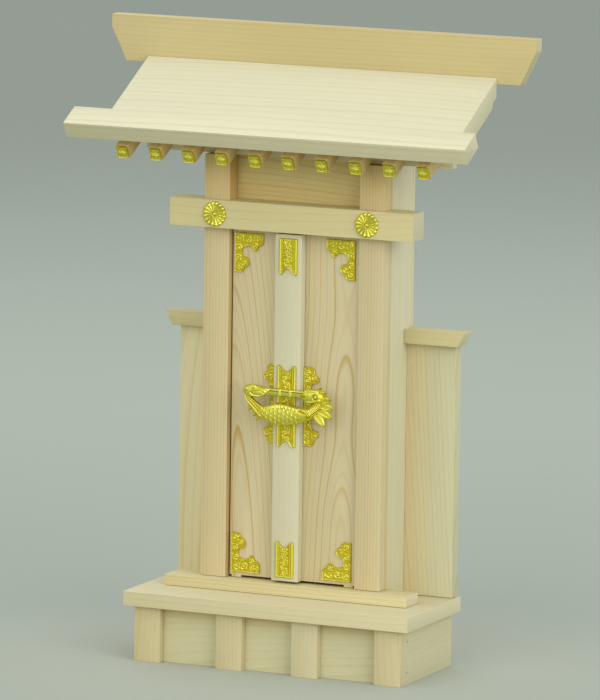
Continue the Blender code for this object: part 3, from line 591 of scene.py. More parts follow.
class KAMIDANA_OT_base(bpy.types.Operator):
    """Base box: top board, front, back and side boards, four pilasters and the side nails"""

    bl_idname = "kamidana.base"
    bl_label = "Base"

    def execute(self, context):
        # Painted shade: the top board is warmer everywhere below its top face, where less of the cool
        # top light falls
        board("base_top_board", "pale_wood", "across", (0, 12, -62), 3.1, 0.22,
              sweep=0.05, waver=3.0, tint=(0.94, 0.97, 1.02),
              fades=((2, 1.0, 0.98, (1.0, 0.98, 0.92)),))
        # Painted shade: the front board turns warmer and darker towards its top, under the top board's
        # overhang
        board("base_front_board", "pale_wood", "across", (0, 90, -34), 1.8, 0.22,
              waver=1.6, lean=0.03, tint=(0.92, 0.98, 0.97),
              fades=((2, 0.72, 1.0, (0.97, 0.84, 0.72)), (0, 0.15, 0.95, (0.91, 0.91, 0.91))))
        board("base_back_board", "pale_wood", "across", (0, -60, 40), 2.6, 0.24)
        for side, number in (("left", 0.2), ("right", 0.7)):
            board(f"base_side_{side}", "pale_wood", "deep", (60, 0, -45), 2.9, 0.20,
                  lean=0.05, phase=number, tint=(0.85, 0.90, 0.93))
        piths = ((-34, 40, 0), (60, 30, 0), (-52, 26, 0), (38, 48, 0))
        tints = ((0.90, 0.92, 0.87), (0.92, 0.95, 0.93), (0.93, 0.99, 1.01), (0.93, 0.96, 0.93))
        for number, (pith, tint) in enumerate(zip(piths, tints), start=1):
            board(f"base_pilaster_{number}", "warm_wood", "upright", pith,
                  2.7 + 0.2 * number, 0.24, lean=0.05, phase=0.3 * number, tint=tint)
        self.nails()
        return {"FINISHED"}

    def nails(self):
        """Two nail heads in each side board, near its front: flat domes turned about x."""
        low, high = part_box("base_side_right")
        from_front = 5.6 * MM
        steps = 20
        radii = np.array([0.0001, 0.3, 0.55, 0.72, 0.78, 0.78])[:, None] * MM
        lift = np.array([0.16, 0.15, 0.11, 0.04, -0.02, -1.2])[:, None] * MM
        angle = circle(steps)
        parts = []
        for side in (-1, 1):
            for height in (34.4 * MM, 9.7 * MM):
                points = grid_points(side * (high.x + lift),
                                     low.y + from_front + radii * np.cos(angle),
                                     height + radii * np.sin(angle))
                parts.append((points, tube_faces(len(radii), steps)))
        heads = closed_mesh("base_nails", parts)
        material, wire, shader = new_finish("nail_head")
        spot = wire.add("ShaderNodeTexCoord").outputs["Object"]
        rust = wire.noise(spot, scale=1800.0, detail=3.0)
        iron = wire.mix(rust, (0.10, 0.045, 0.02, 1.0), (0.24, 0.12, 0.06, 1.0))
        wire.feed(shader.inputs["Base Color"], iron)
        wire.feed(shader.inputs["Roughness"], wire.ease(rust, 0.3, 0.7, 0.35, 0.6))
        shader.inputs["Metallic"].default_value = 0.3
        heads.materials.append(material)
        piece = add_object("base_nails", heads)
        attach(piece, "shrine")


class KAMIDANA_OT_cabinet(bpy.types.Operator):
    """Cabinet: sill, pillars, side walls, back board, upper panel and beam"""

    bl_idname = "kamidana.cabinet"
    bl_label = "Cabinet"

    def execute(self, context):
        board("sill", "pale_wood", "across", (0, 60, -70), 2.4, 0.30,
              tint=(0.95, 0.95, 0.85))
        # Painted shade and warm bounce light under the eave: the pillars turn yellower and darker
        # towards the head. The left pillar's inner face is painted darker and redder as shade
        painted_eave_shade = (2, 0.836, 0.97, (1.0, 0.92, 0.70))
        painted_inner_shade = (0, 0.985, 0.998, (0.93, 0.80, 0.66))
        # Painted light: the right pillar is a little darker and warmer everywhere but on its right
        # side face, so that face reads as lit
        front = (0, 0.998, 0.985, (0.97, 0.93, 0.90))
        board("pillar_left", "warm_wood", "upright", (-150, 26, 0), 2.7, 0.46,
              waver=1.4, lean=0.004, tint=(0.95, 0.94, 0.90), fades=(painted_eave_shade, painted_inner_shade))
        board("pillar_right", "warm_wood", "upright", (150, 30, 0), 2.6, 0.46,
              waver=1.4, lean=-0.004, phase=0.4, tint=(0.99, 1.03, 1.04),
              fades=(painted_eave_shade, front))
        board("side_wall_left", "pale_wood", "upright", (46, 5, 0), 3.4, 0.14,
              lean=0.01, tint=(0.96, 1.01, 1.12))
        board("side_wall_right", "pale_wood", "upright", (-46, 9, 0), 3.4, 0.14,
              lean=0.01, phase=0.3, tint=(0.96, 1.01, 1.12))
        board("back_board", "pale_wood", "upright", (12, 48, -60), 3.6, 0.32,
              sweep=0.06, waver=3.0)
        # The tints of the upper panel and the beam set their tone and, by their low blue, paint the
        # warm bounce light under the eave
        board("upper_panel", "warm_wood", "across", (-60, 22, 30), 3.3, 0.55,
              sweep=0.55, waver=3.2, drift=0.8, tint=(0.98, 0.95, 0.68))
        board("beam", "pale_wood", "across", (40, 44, -30), 3.0, 0.22,
              sweep=0.25, lean=0.04, waver=2.5, tint=(0.96, 0.94, 0.79),
              fades=((0, 0.0, 0.25, (0.96, 0.97, 0.97)),))
        return {"FINISHED"}


class KAMIDANA_OT_wings(bpy.types.Operator):
    """Wings: the low panel on each side and its cap"""

    bl_idname = "kamidana.wings"
    bl_label = "Wings"

    def execute(self, context):
        board("wing_left", "warm_wood", "upright", (-26, 30, -30), 3.4, 0.34,
              tilt=0.05, sweep=0.12, waver=2.4, reach_x=0.25, tint=(1.14, 1.22, 1.26))
        # Painted light: the right wing is lighter and warmer towards its left end, where the side wall
        # shades it
        board("wing_right", "warm_wood", "upright", (-52, 20, 90), 3.6, 0.42, tilt=-0.045,
              lean=-0.01, sweep=0.24, waver=4.0, broad=0.35, reach_x=-0.25,
              tint=(1.06, 1.08, 1.12),
              fades=((0, 0.0, 0.7, (0.84, 0.935, 0.98)), (0, 0.75, 0.0, (1.0, 1.0, 0.96))))
        for side in ("left", "right"):
            board(f"wing_cap_{side}", "pale_wood", "across", (0, 50, 32), 2.5, 0.24,
                  tint=(0.88, 0.875, 0.765))
        return {"FINISHED"}


class KAMIDANA_OT_roof(bpy.types.Operator):
    """Roof: purlin, ten rafters, soffit board, roof board and ridge board"""

    bl_idname = "kamidana.roof"
    bl_label = "Roof"

    def execute(self, context):
        board("purlin", "pale_wood", "across", (0, 40, 50), 2.6, 0.25)
        # The warm tints of the rafters and the soffit board set their tone and paint the warm bounce
        # light under the eave
        for number in range(1, 11):
            board(f"rafter_{number}", "warm_wood", "up the slope",
                  (40 - 9 * number, 0, -36), 2.4, 0.34, phase=0.37 * number,
                  tint=(1.04, 0.93, 0.66))
        board("soffit_board", "pale_wood", "across", (0, 30, -44), 3.0, 0.26,
              tint=(1.04, 0.95, 0.68))
        # Painted shade: the roof board is darker and warmer at its eave, whose front faces a little
        # downward
        board("roof_board", "roof_wood", "across", (40, -36, -62), 5.4, 0.25,
              waver=6.0, sweep=0.20, drift=0.8,
              fades=((2, 0.20, 0.17, (0.93, 0.91, 0.87)), (0, 0.3, 1.0, (0.98, 0.98, 0.97))))
        # The ridge board's tint sets its tone and, by its low blue, paints warm light on it
        board("ridge_board", "warm_wood", "across", (0, 30, -90), 3.4, 0.24,
              waver=3.4, sweep=0.10, tint=(0.98, 0.97, 0.81),
              fades=((0, 0.1, 0.5, (0.90, 0.89, 0.84)),))
        return {"FINISHED"}


class KAMIDANA_OT_doors(bpy.types.Operator):
    """Doors: both leaves, with their arched grain, and the cover strip"""

    bl_idname = "kamidana.doors"
    bl_label = "Doors"

    def execute(self, context):
        # At 200 mm up the pith is 25 mm from each leaf's front, near its outer edge. It comes
        # closer going down, which draws arches with their peaks up
        for side, pith_x, tilt, lean, sweep, ring, phase, swell in (
                ("left", -49.45, -0.0614, -0.0368, -0.148, 2.77, 0.12, 0.0),
                ("right", 42.99, 0.020, -0.0311, 0.110, 3.45, 0.377, 0.7)):
            low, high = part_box(f"door_{side}")
            centre = (low + high) / 2
            pith = (pith_x - centre.x / MM, 25 + (low.y - centre.y) / MM, 200 - centre.z / MM)
            board(f"door_{side}", "warm_wood", "upright", pith, ring, 0.9,
                  waver=0.8, tilt=tilt, lean=lean, sweep=sweep, phase=phase, drift=0.05,
                  broad=0.24, swell=swell, tint=(0.98, 1.0, 1.02), body=f"{side}_door")
        board("cover_strip", "pale_wood", "upright", (60, 40, 0), 3.6, 0.07,
              tint=(0.92, 0.97, 1.08), body="left_door")
        return {"FINISHED"}


class KAMIDANA_OT_crests(bpy.types.Operator):
    """Crests: two chrysanthemums of sixteen petals on the beam"""

    bl_idname = "kamidana.crests"
    bl_label = "Crests"

    def execute(self, context):
        for side in ("left", "right"):
            node = f"crest_{side}"
            gilt_piece(node, [self.flower(node)], "shrine")
        return {"FINISHED"}

    def flower(self, node):
        """Polar grid: at each share of the radius the petal is a ridge across its angle, it
        narrows to the middle and ends in a round bead, and a domed boss fills the centre."""
        petals = 16
        low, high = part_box(node)
        radius = (high.x - low.x) / 2
        centre = (low + high) / 2
        share = np.concatenate([np.linspace(0.02, 0.9, 40), np.linspace(0.915, 1.0, 9)])[:, None]
        angle = circle(petals * 20)
        across = np.mod(angle * petals / math.tau, 1.0) * 2.0 - 1.0
        petal = np.sqrt(unit(1.0 - across ** 2))
        bead = ridge(np.hypot(across * 0.18, share - 0.84), 0.17)
        body = 0.12 + 0.88 * petal ** 1.7
        boss = 0.15
        foot = 0.19
        dome = edge_fall(boss - share, boss) * (share < boss)
        collar = ridge(share - foot, 0.035)
        petal_part = unit((share - foot) / 0.06)
        relief = petal_part * np.clip(body * (0.56 + 0.2 * share) + 0.55 * bead * petal, 0.0, 1.2)
        relief = highest(relief, 0.95 * dome + 0.15, 0.55 * collar)
        scallop = 1.0 - 0.075 * (1.0 - petal) * share ** 3
        fall = edge_fall(1.0 - share, 0.10)
        height = 0.5 * MM + 1.35 * MM * relief * (0.25 + 0.75 * fall)
        reach = radius * share * scallop
        x = centre.x + reach * np.cos(angle)
        z = centre.z + reach * np.sin(angle)
        rings, steps = x.shape
        front = grid_points(x, high.y - height, z)
        back = grid_points(x[-1], high.y, z[-1])
        shade = np.concatenate([unit(relief).ravel(), np.full(steps, 0.2)])
        return np.concatenate([front, back]), tube_faces(rings + 1, steps), shade


class KAMIDANA_OT_rafter_caps(bpy.types.Operator):
    """Rafter caps: a small chased plate on the end of each rafter"""

    bl_idname = "kamidana.rafter_caps"
    bl_label = "Rafter Caps"

    def execute(self, context):
        for number in range(1, 11):
            node = f"rafter_cap_{number}"
            gilt_piece(node, [self.cap(node)], "shrine")
        return {"FINISHED"}

    def cap(self, node):
        """Rounded oblong: the grid's corners are drawn in, a bead runs round the rim, and four
        leaves of a rosette, (1 - reach) times a cosine of twice the angle, meet in a boss."""
        low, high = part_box(node)
        wide = (high.x - low.x) / 2
        middle = (low.x + high.x) / 2
        lean = (math.cos(ROOF_SLOPE), math.sin(ROOF_SLOPE))
        thick = 2.0 * MM
        tall = (high.z - low.z - thick * lean[1]) / lean[0] / 2
        s, t = np.meshgrid(np.linspace(-1.0, 1.0, 41), np.linspace(-1.0, 1.0, 49))
        corner = 1.0 - 0.11 * (s * t) ** 4
        a = s * wide * corner
        b = t * tall * corner
        rim_distance = np.minimum(wide * (1.0 - np.abs(s)), tall * (1.0 - np.abs(t)))
        reach = np.hypot(s, t * 0.95)
        angle = np.arctan2(t, s)
        leaves = unit(1.15 - reach) * (0.45 + 0.55 * np.abs(np.cos(2.0 * angle)))
        veins = wave(16.0 * angle)
        boss = ridge(np.hypot(s - 0.12, t - 0.14), 0.42)
        corners = ridge(np.hypot(np.abs(s) - 0.66, np.abs(t) - 0.70), 0.26)
        rim = ridge(rim_distance - 0.55 * MM, 0.5 * MM)
        relief = highest(leaves * (0.6 + 0.4 * veins), boss, 0.65 * corners, 0.7 * rim)
        relief = relief * (1.0 - 0.7 * ridge(t + 0.62, 0.10) * (np.abs(s) < 0.5))
        height = (SHEET + 0.55 * MM * edge_fall(rim_distance, 0.7 * MM)
                  + 1.4 * MM * relief * edge_fall(rim_distance, 0.5 * MM))
        origin_y = high.y - tall * lean[1]
        origin_z = low.z + thick * lean[1] + tall * lean[0]

        def place(across, up, out):
            return grid_points(middle + across, origin_y - up * lean[1] - out * lean[0],
                               origin_z + up * lean[0] - out * lean[1])
        return relief_plate(a, b, height, relief, place)


class KAMIDANA_OT_corner_plates(bpy.types.Operator):
    """Corner plates: four leaf-ended fittings on the doors' corners"""

    bl_idname = "kamidana.corner_plates"
    bl_label = "Corner Plates"

    # Scrolls as share of the width and the height, radius in millimetres, turn and start
    CURLS = ((0.155, 0.86, 2.6, 1, 0.4), (0.33, 0.75, 2.3, -1, 2.0), (0.13, 0.62, 2.7, -1, 1.1),
             (0.17, 0.39, 3.1, 1, 2.8), (0.18, 0.14, 3.4, -1, 0.2), (0.46, 0.17, 3.3, 1, 1.7),
             (0.71, 0.12, 2.7, -1, 0.9), (0.72, 0.31, 2.3, 1, 2.5), (0.90, 0.11, 2.2, 1, 0.1),
             (0.37, 0.33, 1.8, -1, 1.3))

    def execute(self, context):
        for side in ("left", "right"):
            for level in ("top", "bottom"):
                node = f"corner_{level}_{side}"
                gilt_piece(node, [self.plate(node, side, level)], f"{side}_door")
        return {"FINISHED"}

    def plate(self, node, side, level):
        """Ruled from the two straight outer edges to the cusped hollow inside. Both are walked
        together in shares of width and height from the outer corner, run by run."""
        low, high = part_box(node)
        wide = high.x - low.x
        tall = high.z - low.z
        out_x, step_x = (low.x, 1.0) if side == "left" else (high.x, -1.0)
        out_z, step_z = (high.z, -1.0) if level == "top" else (low.z, 1.0)
        hollow = (
            ((0.24, 1.00), 0.35, (0.00, 1.00)),
            ((0.34, 0.88), 0.35, (0.00, 0.88)),
            ((0.52, 0.74), 0.45, (0.00, 0.73)),
            ((0.29, 0.60), -0.75, (0.00, 0.56)),
            ((0.53, 0.34), -0.15, (0.42, 0.00)),
            ((0.71, 0.46), 0.25, (0.66, 0.00)),
            ((0.82, 0.33), 0.45, (0.83, 0.00)),
            ((1.00, 0.15), 0.00, (1.00, 0.00)),
        )
        size = np.array((wide, tall))
        inner = []
        outer = []
        for (start, bulge, straight), (end, _, straight_end) in zip(hollow, hollow[1:]):
            inner.append(outline_run(start, end, bulge, size, 0.19 * MM))
            steps = len(inner[-1]) + 1
            # One run turns round the outer corner, the others are straight outside
            if straight[0] == 0 and straight_end[1] == 0:
                half = steps // 2
                down = np.linspace((0, straight[1]), (0, 0), half, endpoint=False)
                along = np.linspace((0, 0), (straight_end[0], 0), steps - half)
                run = np.concatenate([down, along])[:-1]
            else:
                run = np.linspace(straight, straight_end, steps)[:-1]
            outer.append(run * size)
        inner = np.concatenate(inner + [[size * hollow[-1][0]]])
        outer = np.concatenate(outer + [[size * hollow[-1][2]]])
        a, b, share = ruled(outer, inner, 64)
        to_hollow = np.hypot(*(inner - outer).T) * (1.0 - share)
        border = lowest(a, b, tall - b, wide - a, to_hollow)
        curls = [(along * wide, up * tall, radius * MM, turn, start)
                 for along, up, radius, turn, start in self.CURLS]
        relief = chased(a, b, border, curls)
        x = out_x + step_x * a
        z = out_z + step_z * b
        return front_plate(x, z, border, relief, 0.6 * MM, high.y)


def chased(a, b, border, curls):
    """Relief of a plate, from 0 to 1: scrolls over a pearled ground, fading to a rolled rim."""
    rim = 0.75 * MM
    ground = 0.42 * pearls(a, b, 0.95 * MM)
    field = np.maximum(ground, scrollwork(a, b, curls))
    inside = unit((border - 0.55 * rim) / (0.5 * rim))
    rolled = 0.8 * ridge(border - 0.62 * rim, 0.62 * rim)
    return unit(np.maximum(field * inside, rolled))


def front_plate(x, z, border, relief, soft, back):
    """A chased plate that faces the front, with its back at y = back. Its edge is rounded over
    a width soft."""
    sheet = SHEET + 0.5 * MM * edge_fall(border, soft)
    height = sheet + bpy.context.scene.kamidana_gilt.relief * relief
    return relief_plate(x, z, height, relief, facing_front(back))


def strip_relief(a, b, half, length, foot):
    """Relief of a long plate: a half-round rail along each side, a beaded line inside it and
    a chain of scrolls that turn one way and the other up the middle."""
    side = half - np.abs(a)
    rail = ridge(side - 1.15 * MM, 1.1 * MM)
    beads = ridge(side - 2.75 * MM, 0.42 * MM) * (0.55 + 0.45 * np.cos(math.tau * b / (0.95 * MM)))
    count = max(2, int(round(length / (4.3 * MM))))
    curls = []
    for number in range(count):
        share = (number + 0.5) / count
        turn = 1 if number % 2 else -1
        small_share = share + 0.28 / count
        curls.append((turn * 0.9 * MM, foot + length * share, 2.7 * MM, turn, 1.9 * number))
        curls.append((-turn * 2.1 * MM, foot + length * small_share, 1.5 * MM, -turn, 0.8 * number))
    scrolls = scrollwork(a, b, curls) * unit((side - 3.0 * MM) / (0.4 * MM))
    ground = 0.36 * pearls(a, b, 0.8 * MM)
    return unit(highest(rail, 0.8 * beads, scrolls, ground))


def tail_edge(half, deep, notch_share):
    """Swallow-tail edge over the plate's width: two round tips and a curved V between them,
    given as the depth below the tips at each x."""
    notch = half * notch_share
    corners = ((-half, -deep / 4, 0.5), (-notch, -deep / 4, -0.25), (0.0, -deep, -0.25),
               (notch, -deep / 4, 0.5), (half, -deep / 4, 0.0))
    runs = [bowed(start[:2], end[:2], start[2], 12) for start, end in zip(corners, corners[1:])]
    return np.concatenate(runs)


def strip_plate(node, tail_up, tail_down):
    """Long plate: the grid runs across the width, and up between a foot edge and a head edge
    that are straight or swallow-tailed."""
    low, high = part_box(node)
    half = (high.x - low.x) / 2
    middle = (high.x + low.x) / 2
    s, t = np.meshgrid(np.linspace(-1.0, 1.0, 97), np.linspace(0.0, 1.0, 200))
    a = s * half
    tail = tail_edge(half, 5.2 * MM, 0.56)
    drop = np.interp(a, tail[:, 0], tail[:, 1])
    tip = tail[:, 1].max()
    head = high.z + (drop - tip if tail_up else 0.0)
    foot = low.z - (drop - tip if tail_down else 0.0)
    b = foot + (head - foot) * t
    to_ends = np.minimum(head - b, b - foot)
    border = lowest(half - np.abs(a), to_ends)
    relief = strip_relief(a, b, half, high.z - low.z, low.z)
    end_roll = 0.85 * ridge(to_ends - 0.7 * MM, 0.65 * MM)
    relief = np.maximum(relief * unit(to_ends / (1.1 * MM)), end_roll)
    nick_z = high.z if not tail_up else low.z
    if not (tail_up and tail_down):
        relief = relief * (1.0 - ridge(np.hypot(a, b - nick_z), 1.3 * MM))
    return front_plate(a + middle, b, border, relief, 0.55 * MM, high.y)


class KAMIDANA_OT_strip_fittings(bpy.types.Operator):
    """Strip fittings: the plates at the head and foot of the cover strip"""

    bl_idname = "kamidana.strip_fittings"
    bl_label = "Strip Fittings"

    def execute(self, context):
        for level, tail_up in (("top", False), ("bottom", True)):
            node = f"strip_fitting_{level}"
            gilt_piece(node, [strip_plate(node, tail_up, not tail_up)], "left_door")
        return {"FINISHED"}


class KAMIDANA_OT_lock_plates(bpy.types.Operator):
    """Lock plates: the swallow-tailed plate behind the lock and the lobed half on each side"""

    bl_idname = "kamidana.lock_plates"
    bl_label = "Lock Plates"

    def execute(self, context):
        node = "lock_plate_centre"
        gilt_piece(node, [strip_plate(node, True, True)], "left_door")
        for side in ("left", "right"):
            node = f"lock_plate_{side}"
            gilt_piece(node, [self.half_plate(node, side)], f"{side}_door")
        return {"FINISHED"}

    def half_plate(self, node, side):
        """Ruled from the straight inner edge to the lobes, from the head down and mirrored."""
        low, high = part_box(node)
        lobes = (((0.46, 1.00), 0.30), ((0.72, 0.80), 0.20), ((0.98, 0.72), 0.60),
                 ((0.62, 0.60), -0.20), ((0.45, 0.40), 0.0), ((0.45, 0.0), 0.0))
        furthest = max(spot[0] for spot, bulge in lobes)
        # The corner of the furthest lobe lies 4 percent inside the solid's side
        wide = (high.x - low.x) / furthest * 0.96
        half = (high.z - low.z) / 2
        middle = (high.z + low.z) / 2
        inner_x, step = (high.x, -1.0) if side == "left" else (low.x, 1.0)
        size = np.array((wide, half))
        runs = [outline_run(start, end, bulge, size, 0.2 * MM)
                for (start, bulge), (end, _) in zip(lobes, lobes[1:])]
        upper = np.concatenate(runs + [[size * lobes[-1][0]]])
        lower = upper[-2::-1] * (1.0, -1.0)
        edge = np.concatenate([upper, lower])
        height_line = np.linspace(half, -half, len(edge))
        straight = np.stack([np.zeros(len(edge)), height_line], axis=-1)
        a, b, _ = ruled(straight, edge, 60)
        border = lowest(a, half - np.abs(b), np.abs(edge[:, 0] - a))
        scale = (wide / (14.0 * MM)) ** 0.5
        curls = []
        for share, turn in ((0.86, 1), (0.66, -1), (0.44, 1), (0.2, -1), (-0.02, 1),
                            (-0.24, -1), (-0.46, 1), (-0.68, -1), (-0.88, 1)):
            curls.append((0.24 * wide, share * half, 2.9 * MM * scale, turn, 3.0 * share))
        for share in (0.73, -0.73):
            curls.append((0.68 * wide, share * half, 2.6 * MM * scale, 1, 5.0 * share))
        relief = chased(a, b, border, curls)
        return front_plate(inner_x + step * a, middle + b, border, relief, 0.6 * MM, high.y)


def smooth_path(stations, steps):
    """Catmull-Rom curve through stations, one row each, as whole arrays."""
    padded = np.concatenate([stations[:1], stations, stations[-1:]])
    t = (np.arange(steps) / steps)[None, :, None]
    before, start, end, after = (padded[i:len(padded) - 3 + i, None, :] for i in range(4))
    curve = 0.5 * (2 * start + (end - before) * t + (2 * before - 5 * start + 4 * end - after) * t ** 2
                   + (3 * start - 3 * end + after - before) * t ** 3)
    return np.concatenate([curve.reshape(-1, stations.shape[1]), stations[-1:]])


def stroke(x, z, width, *corners):
    """Soft ridge along the straight lines from corner to corner."""
    lines = []
    for start, end in zip(corners, corners[1:]):
        run = np.array(end) - start
        share = unit(((x - start[0]) * run[0] + (z - start[1]) * run[1]) / (run @ run))
        lines.append(ridge(
            np.hypot(x - start[0] - run[0] * share, z - start[1] - run[1] * share), width))
    return highest(*lines)


class KAMIDANA_OT_fish_lock(bpy.types.Operator):
    """Fish lock: a carp bent into a bow whose head and tail grip a bolt bar in two staples"""

    bl_idname = "kamidana.fish_lock"
    bl_label = "Fish Lock"

    # Middle lines as x, z and half height, in hundredths of the lock's length
    BODY = np.array((
        (-41.0, 12.0, 1.6), (-38.6, 7.6, 2.9), (-34.2, 3.4, 3.4), (-30.0, 0.0, 4.0),
        (-25.4, -3.6, 5.2), (-20.4, -6.2, 6.8), (-13.0, -7.1, 9.5), (-3.0, -6.9, 11.3),
        (9.0, -7.0, 10.2), (19.5, -6.6, 8.0), (28.2, -4.4, 6.4), (34.8, 0.8, 5.6),
        (39.6, 6.4, 4.8), (43.0, 11.6, 3.8), (44.0, 16.0, 1.8)))
    HEAD = np.array((
        (46.0, 13.0, 2.4), (43.0, 13.2, 5.4), (38.5, 13.5, 7.2), (33.0, 13.6, 7.5),
        (28.0, 13.6, 6.6), (24.2, 13.6, 5.0), (21.8, 14.2, 3.4), (20.2, 15.2, 1.6)))
    TAIL = np.array((
        (-14.8, 17.4, 1.0), (-19.0, 16.2, 3.6), (-25.0, 15.0, 5.6), (-31.5, 14.8, 6.6),
        (-37.5, 15.0, 6.0), (-41.5, 13.6, 4.0), (-43.4, 12.4, 1.4)))
    # Fins as root, tip and width, in the same unit
    FINS = (
        ((37, 16.5), (43.6, 24), 6.5), ((41, 13.5), (49, 18.8), 7.5), ((42.5, 9), (54.2, 11.8), 8.5),
        ((42, 4.5), (57, 2.4), 9), ((39, 0.5), (55.4, -7.2), 9.5), ((35, -2.5), (47.2, -16.2), 10),
        ((-33.5, 1.5), (-38, -5.6), 6), ((-29, -2.5), (-32, -11.4), 6.5),
        ((-23.5, -6.5), (-28.6, -15.2), 6.5))
    EYE = (38.5, 14.1)
    UNIT = 0.77 * MM
    DEPTH = 9.2 * MM

    def execute(self, context):
        low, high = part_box("lock_plate_centre")
        self.x = (low.x + high.x) / 2
        self.z = (low.z + high.z) / 2
        self.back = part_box("fish_lock")[1].y
        self.y = self.back - self.DEPTH / 2
        parts = [self.form(self.BODY, 24, 0.0, self.body_relief),
                 self.form(self.HEAD, 28, 0.35 * MM, self.head_relief),
                 self.form(self.TAIL, 28, 0.25 * MM, self.tail_relief),
                 self.eye(), self.eye_ring()]
        parts += [self.fin(*fin) for fin in self.FINS]
        parts += [self.bar(), self.staple(-2.8 * MM), self.staple(6.2 * MM)]
        gilt_piece("fish_lock", parts, "left_door")
        return {"FINISHED"}

    def form(self, stations, steps, forward, carve):
        """Full oval carried along a middle line and rounded off at both ends. Its points are
        |cos|^0.83 and |sin|^0.83 of the angle, which flattens the front a little. carve gives
        the relief of the front from x and z, the way along the line and across it, and the
        share of the half height, and the surface is lifted along its normal by it."""
        # The middle line, its direction and the half height on it
        path = smooth_path(stations, steps)
        run = np.gradient(path[:, :2], axis=0)
        length = np.hypot(run[:, 0], run[:, 1])
        across = np.stack([-run[:, 1], run[:, 0]], axis=-1) / length[:, None]
        if run[:, 0].sum() < 0:
            across = -across
        walked = (np.cumsum(length) - length[0])[:, None]
        ends = np.minimum(walked, walked[-1] - walked) + 0.04
        half = path[:, 2:3] * edge_fall(ends, 0.8 * np.minimum(stations[0, 2], stations[-1, 2]))
        depth = np.minimum(self.DEPTH / 2 / self.UNIT, half)

        # The oval: more points in front than behind
        front = np.linspace(0.0, math.pi, 92, endpoint=False)
        behind = np.linspace(math.pi, math.tau, 22, endpoint=False)
        angle = np.concatenate([front, behind])[None, :]
        rise = np.sign(np.cos(angle)) * np.abs(np.cos(angle)) ** 0.83
        out = np.sign(np.sin(angle)) * np.abs(np.sin(angle)) ** 0.83

        # The relief, which lifts the front along the oval's normal
        flat_x = path[:, 0:1] + across[:, 0:1] * rise * half
        flat_z = path[:, 1:2] + across[:, 1:2] * rise * half
        relief = carve(flat_x, flat_z, walked + 0.0 * rise, rise * half, rise + 0.0 * walked)
        relief = relief * unit(out / 0.35)
        lift = relief * unit(half / 4.0)
        normal_v = np.sign(rise) * np.abs(rise) ** 1.4 / half
        normal_y = np.sign(out) * np.abs(out) ** 1.4 / depth
        size = np.hypot(normal_v, normal_y)
        more = lift * normal_v / size

        # From the lock's unit to its place on the plate, cut off flat at the back
        x = self.x + (flat_x + across[:, 0:1] * more) * self.UNIT
        z = self.z + (flat_z + across[:, 1:2] * more) * self.UNIT
        y = self.y - forward - (depth * out + lift * normal_y / size) * self.UNIT
        points = grid_points(x, np.minimum(y, self.back), z)
        return points, tube_faces(*x.shape), unit(0.34 + 0.66 * relief).ravel()

    def body_relief(self, x, z, u, v, rise):
        """Beads between two ridges up the tail's stalk, scales on the flank under a comb of
        knobs, a plain gill cover behind a slit, ten slanting ribs and a grooved belt."""
        soft = 2.0

        def band(start, end):
            """Share of a feature that lies between two places across the lock."""
            return unit((x - start) / soft + 0.5) * unit((end - x) / soft + 0.5)

        upper_rail = ridge(rise - 0.74, 0.26)
        beads = 0.8 * pearls(u, v, 2.5) * (np.abs(rise) < 0.45)
        stalk = (highest(upper_rail, ridge(rise + 0.70, 0.24), beads) - 0.35) * band(-44.0, -21.5)
        scales = (self.scales(u, v) - 0.25) * band(-21.5, 20.5)
        knobs = wave(math.tau * u / np.where(x < -2.0, 2.1, 4.1)) ** 1.5
        comb = 1.5 * knobs * upper_rail * band(-16.0, 20.0)
        slit = -1.6 * stroke(x, z, 1.5, (20.0, -1.2), (25.5, -3.4))
        cover = 0.15 * band(20.5, 28.0)
        feet = [np.array((27.5, -1.0)) * (1.0 - share) + np.array((42.0, 6.2)) * share
                for share in np.linspace(0.0, 1.0, 10)]
        ribs = highest(*[stroke(x, z, 1.0, foot, foot + (3.6, -5.4)) for foot in feet])
        groove = -1.1 * stroke(x, z, 0.9, (28.5, -8.6), (44.0, 2.2))
        belt = 0.5 * stroke(x, z, 1.5, (29.5, -10.3), (46.0, 1.2))
        gill = (1.2 * ribs - 0.3) * band(26.5, 47.0) + belt
        relief = stalk + np.maximum(scales, comb) + slit + cover + gill
        return np.clip(relief + groove, -1.0, 1.0)

    def head_relief(self, x, z, u, v, rise):
        """A ridge over the upper lip and brow, a jaw line below, the mouth's slit and a
        hollow about the eye."""
        lip = stroke(x, z, 1.5, (21.0, 17.0), (27.6, 20.0), (40.0, 19.6))
        jaw = stroke(x, z, 1.3, (25.8, 8.0), (34.0, 8.6), (43.0, 11.0))
        cheek = 0.6 * stroke(x, z, 1.3, (30.5, 11.0), (31.5, 17.0))
        mouth = -1.3 * stroke(x, z, 1.2, (20.4, 13.4), (27.0, 14.0))
        reach = np.hypot(x - self.EYE[0], z - self.EYE[1])
        hollow = -0.7 * unit((4.1 - reach) / 0.8)
        return np.clip(highest(lip, jaw, cheek) + mouth + hollow - 0.1, -1.0, 1.0)

    def tail_relief(self, x, z, u, v, rise):
        """Four dashes over the top and one below, and a leaf-shaped pocket with a rim and
        veins."""
        dashes = highest(*[stroke(x, z, 1.5, *ends) for ends in (
            ((-40.5, 19.0), (-37.5, 16.8)), ((-34.0, 20.4), (-28.5, 20.0)),
            ((-25.5, 19.2), (-21.5, 17.4)), ((-19.0, 18.0), (-16.0, 16.4)),
            ((-26.0, 9.6), (-19.0, 13.0)))])
        pocket = np.hypot((x + 26.5) / 8.5, (z - 13.8) / 3.3)
        rim = 0.8 * ridge(pocket - 1.0, 0.26)
        floor = -0.3 * ridge(pocket - 0.74, 0.2) + 0.25 * (pocket < 0.6)
        flank = (pocket > 1.2) * (rise < 0.6)
        veins = 0.45 * wave(26.0 * np.arctan2(z - 10.0, x + 44.0)) * flank
        sunk = -0.5 * unit((x + 35.0) / 3.0) * flank
        return np.clip(highest(dashes, rim, veins) + floor + sunk, -1.0, 1.0)

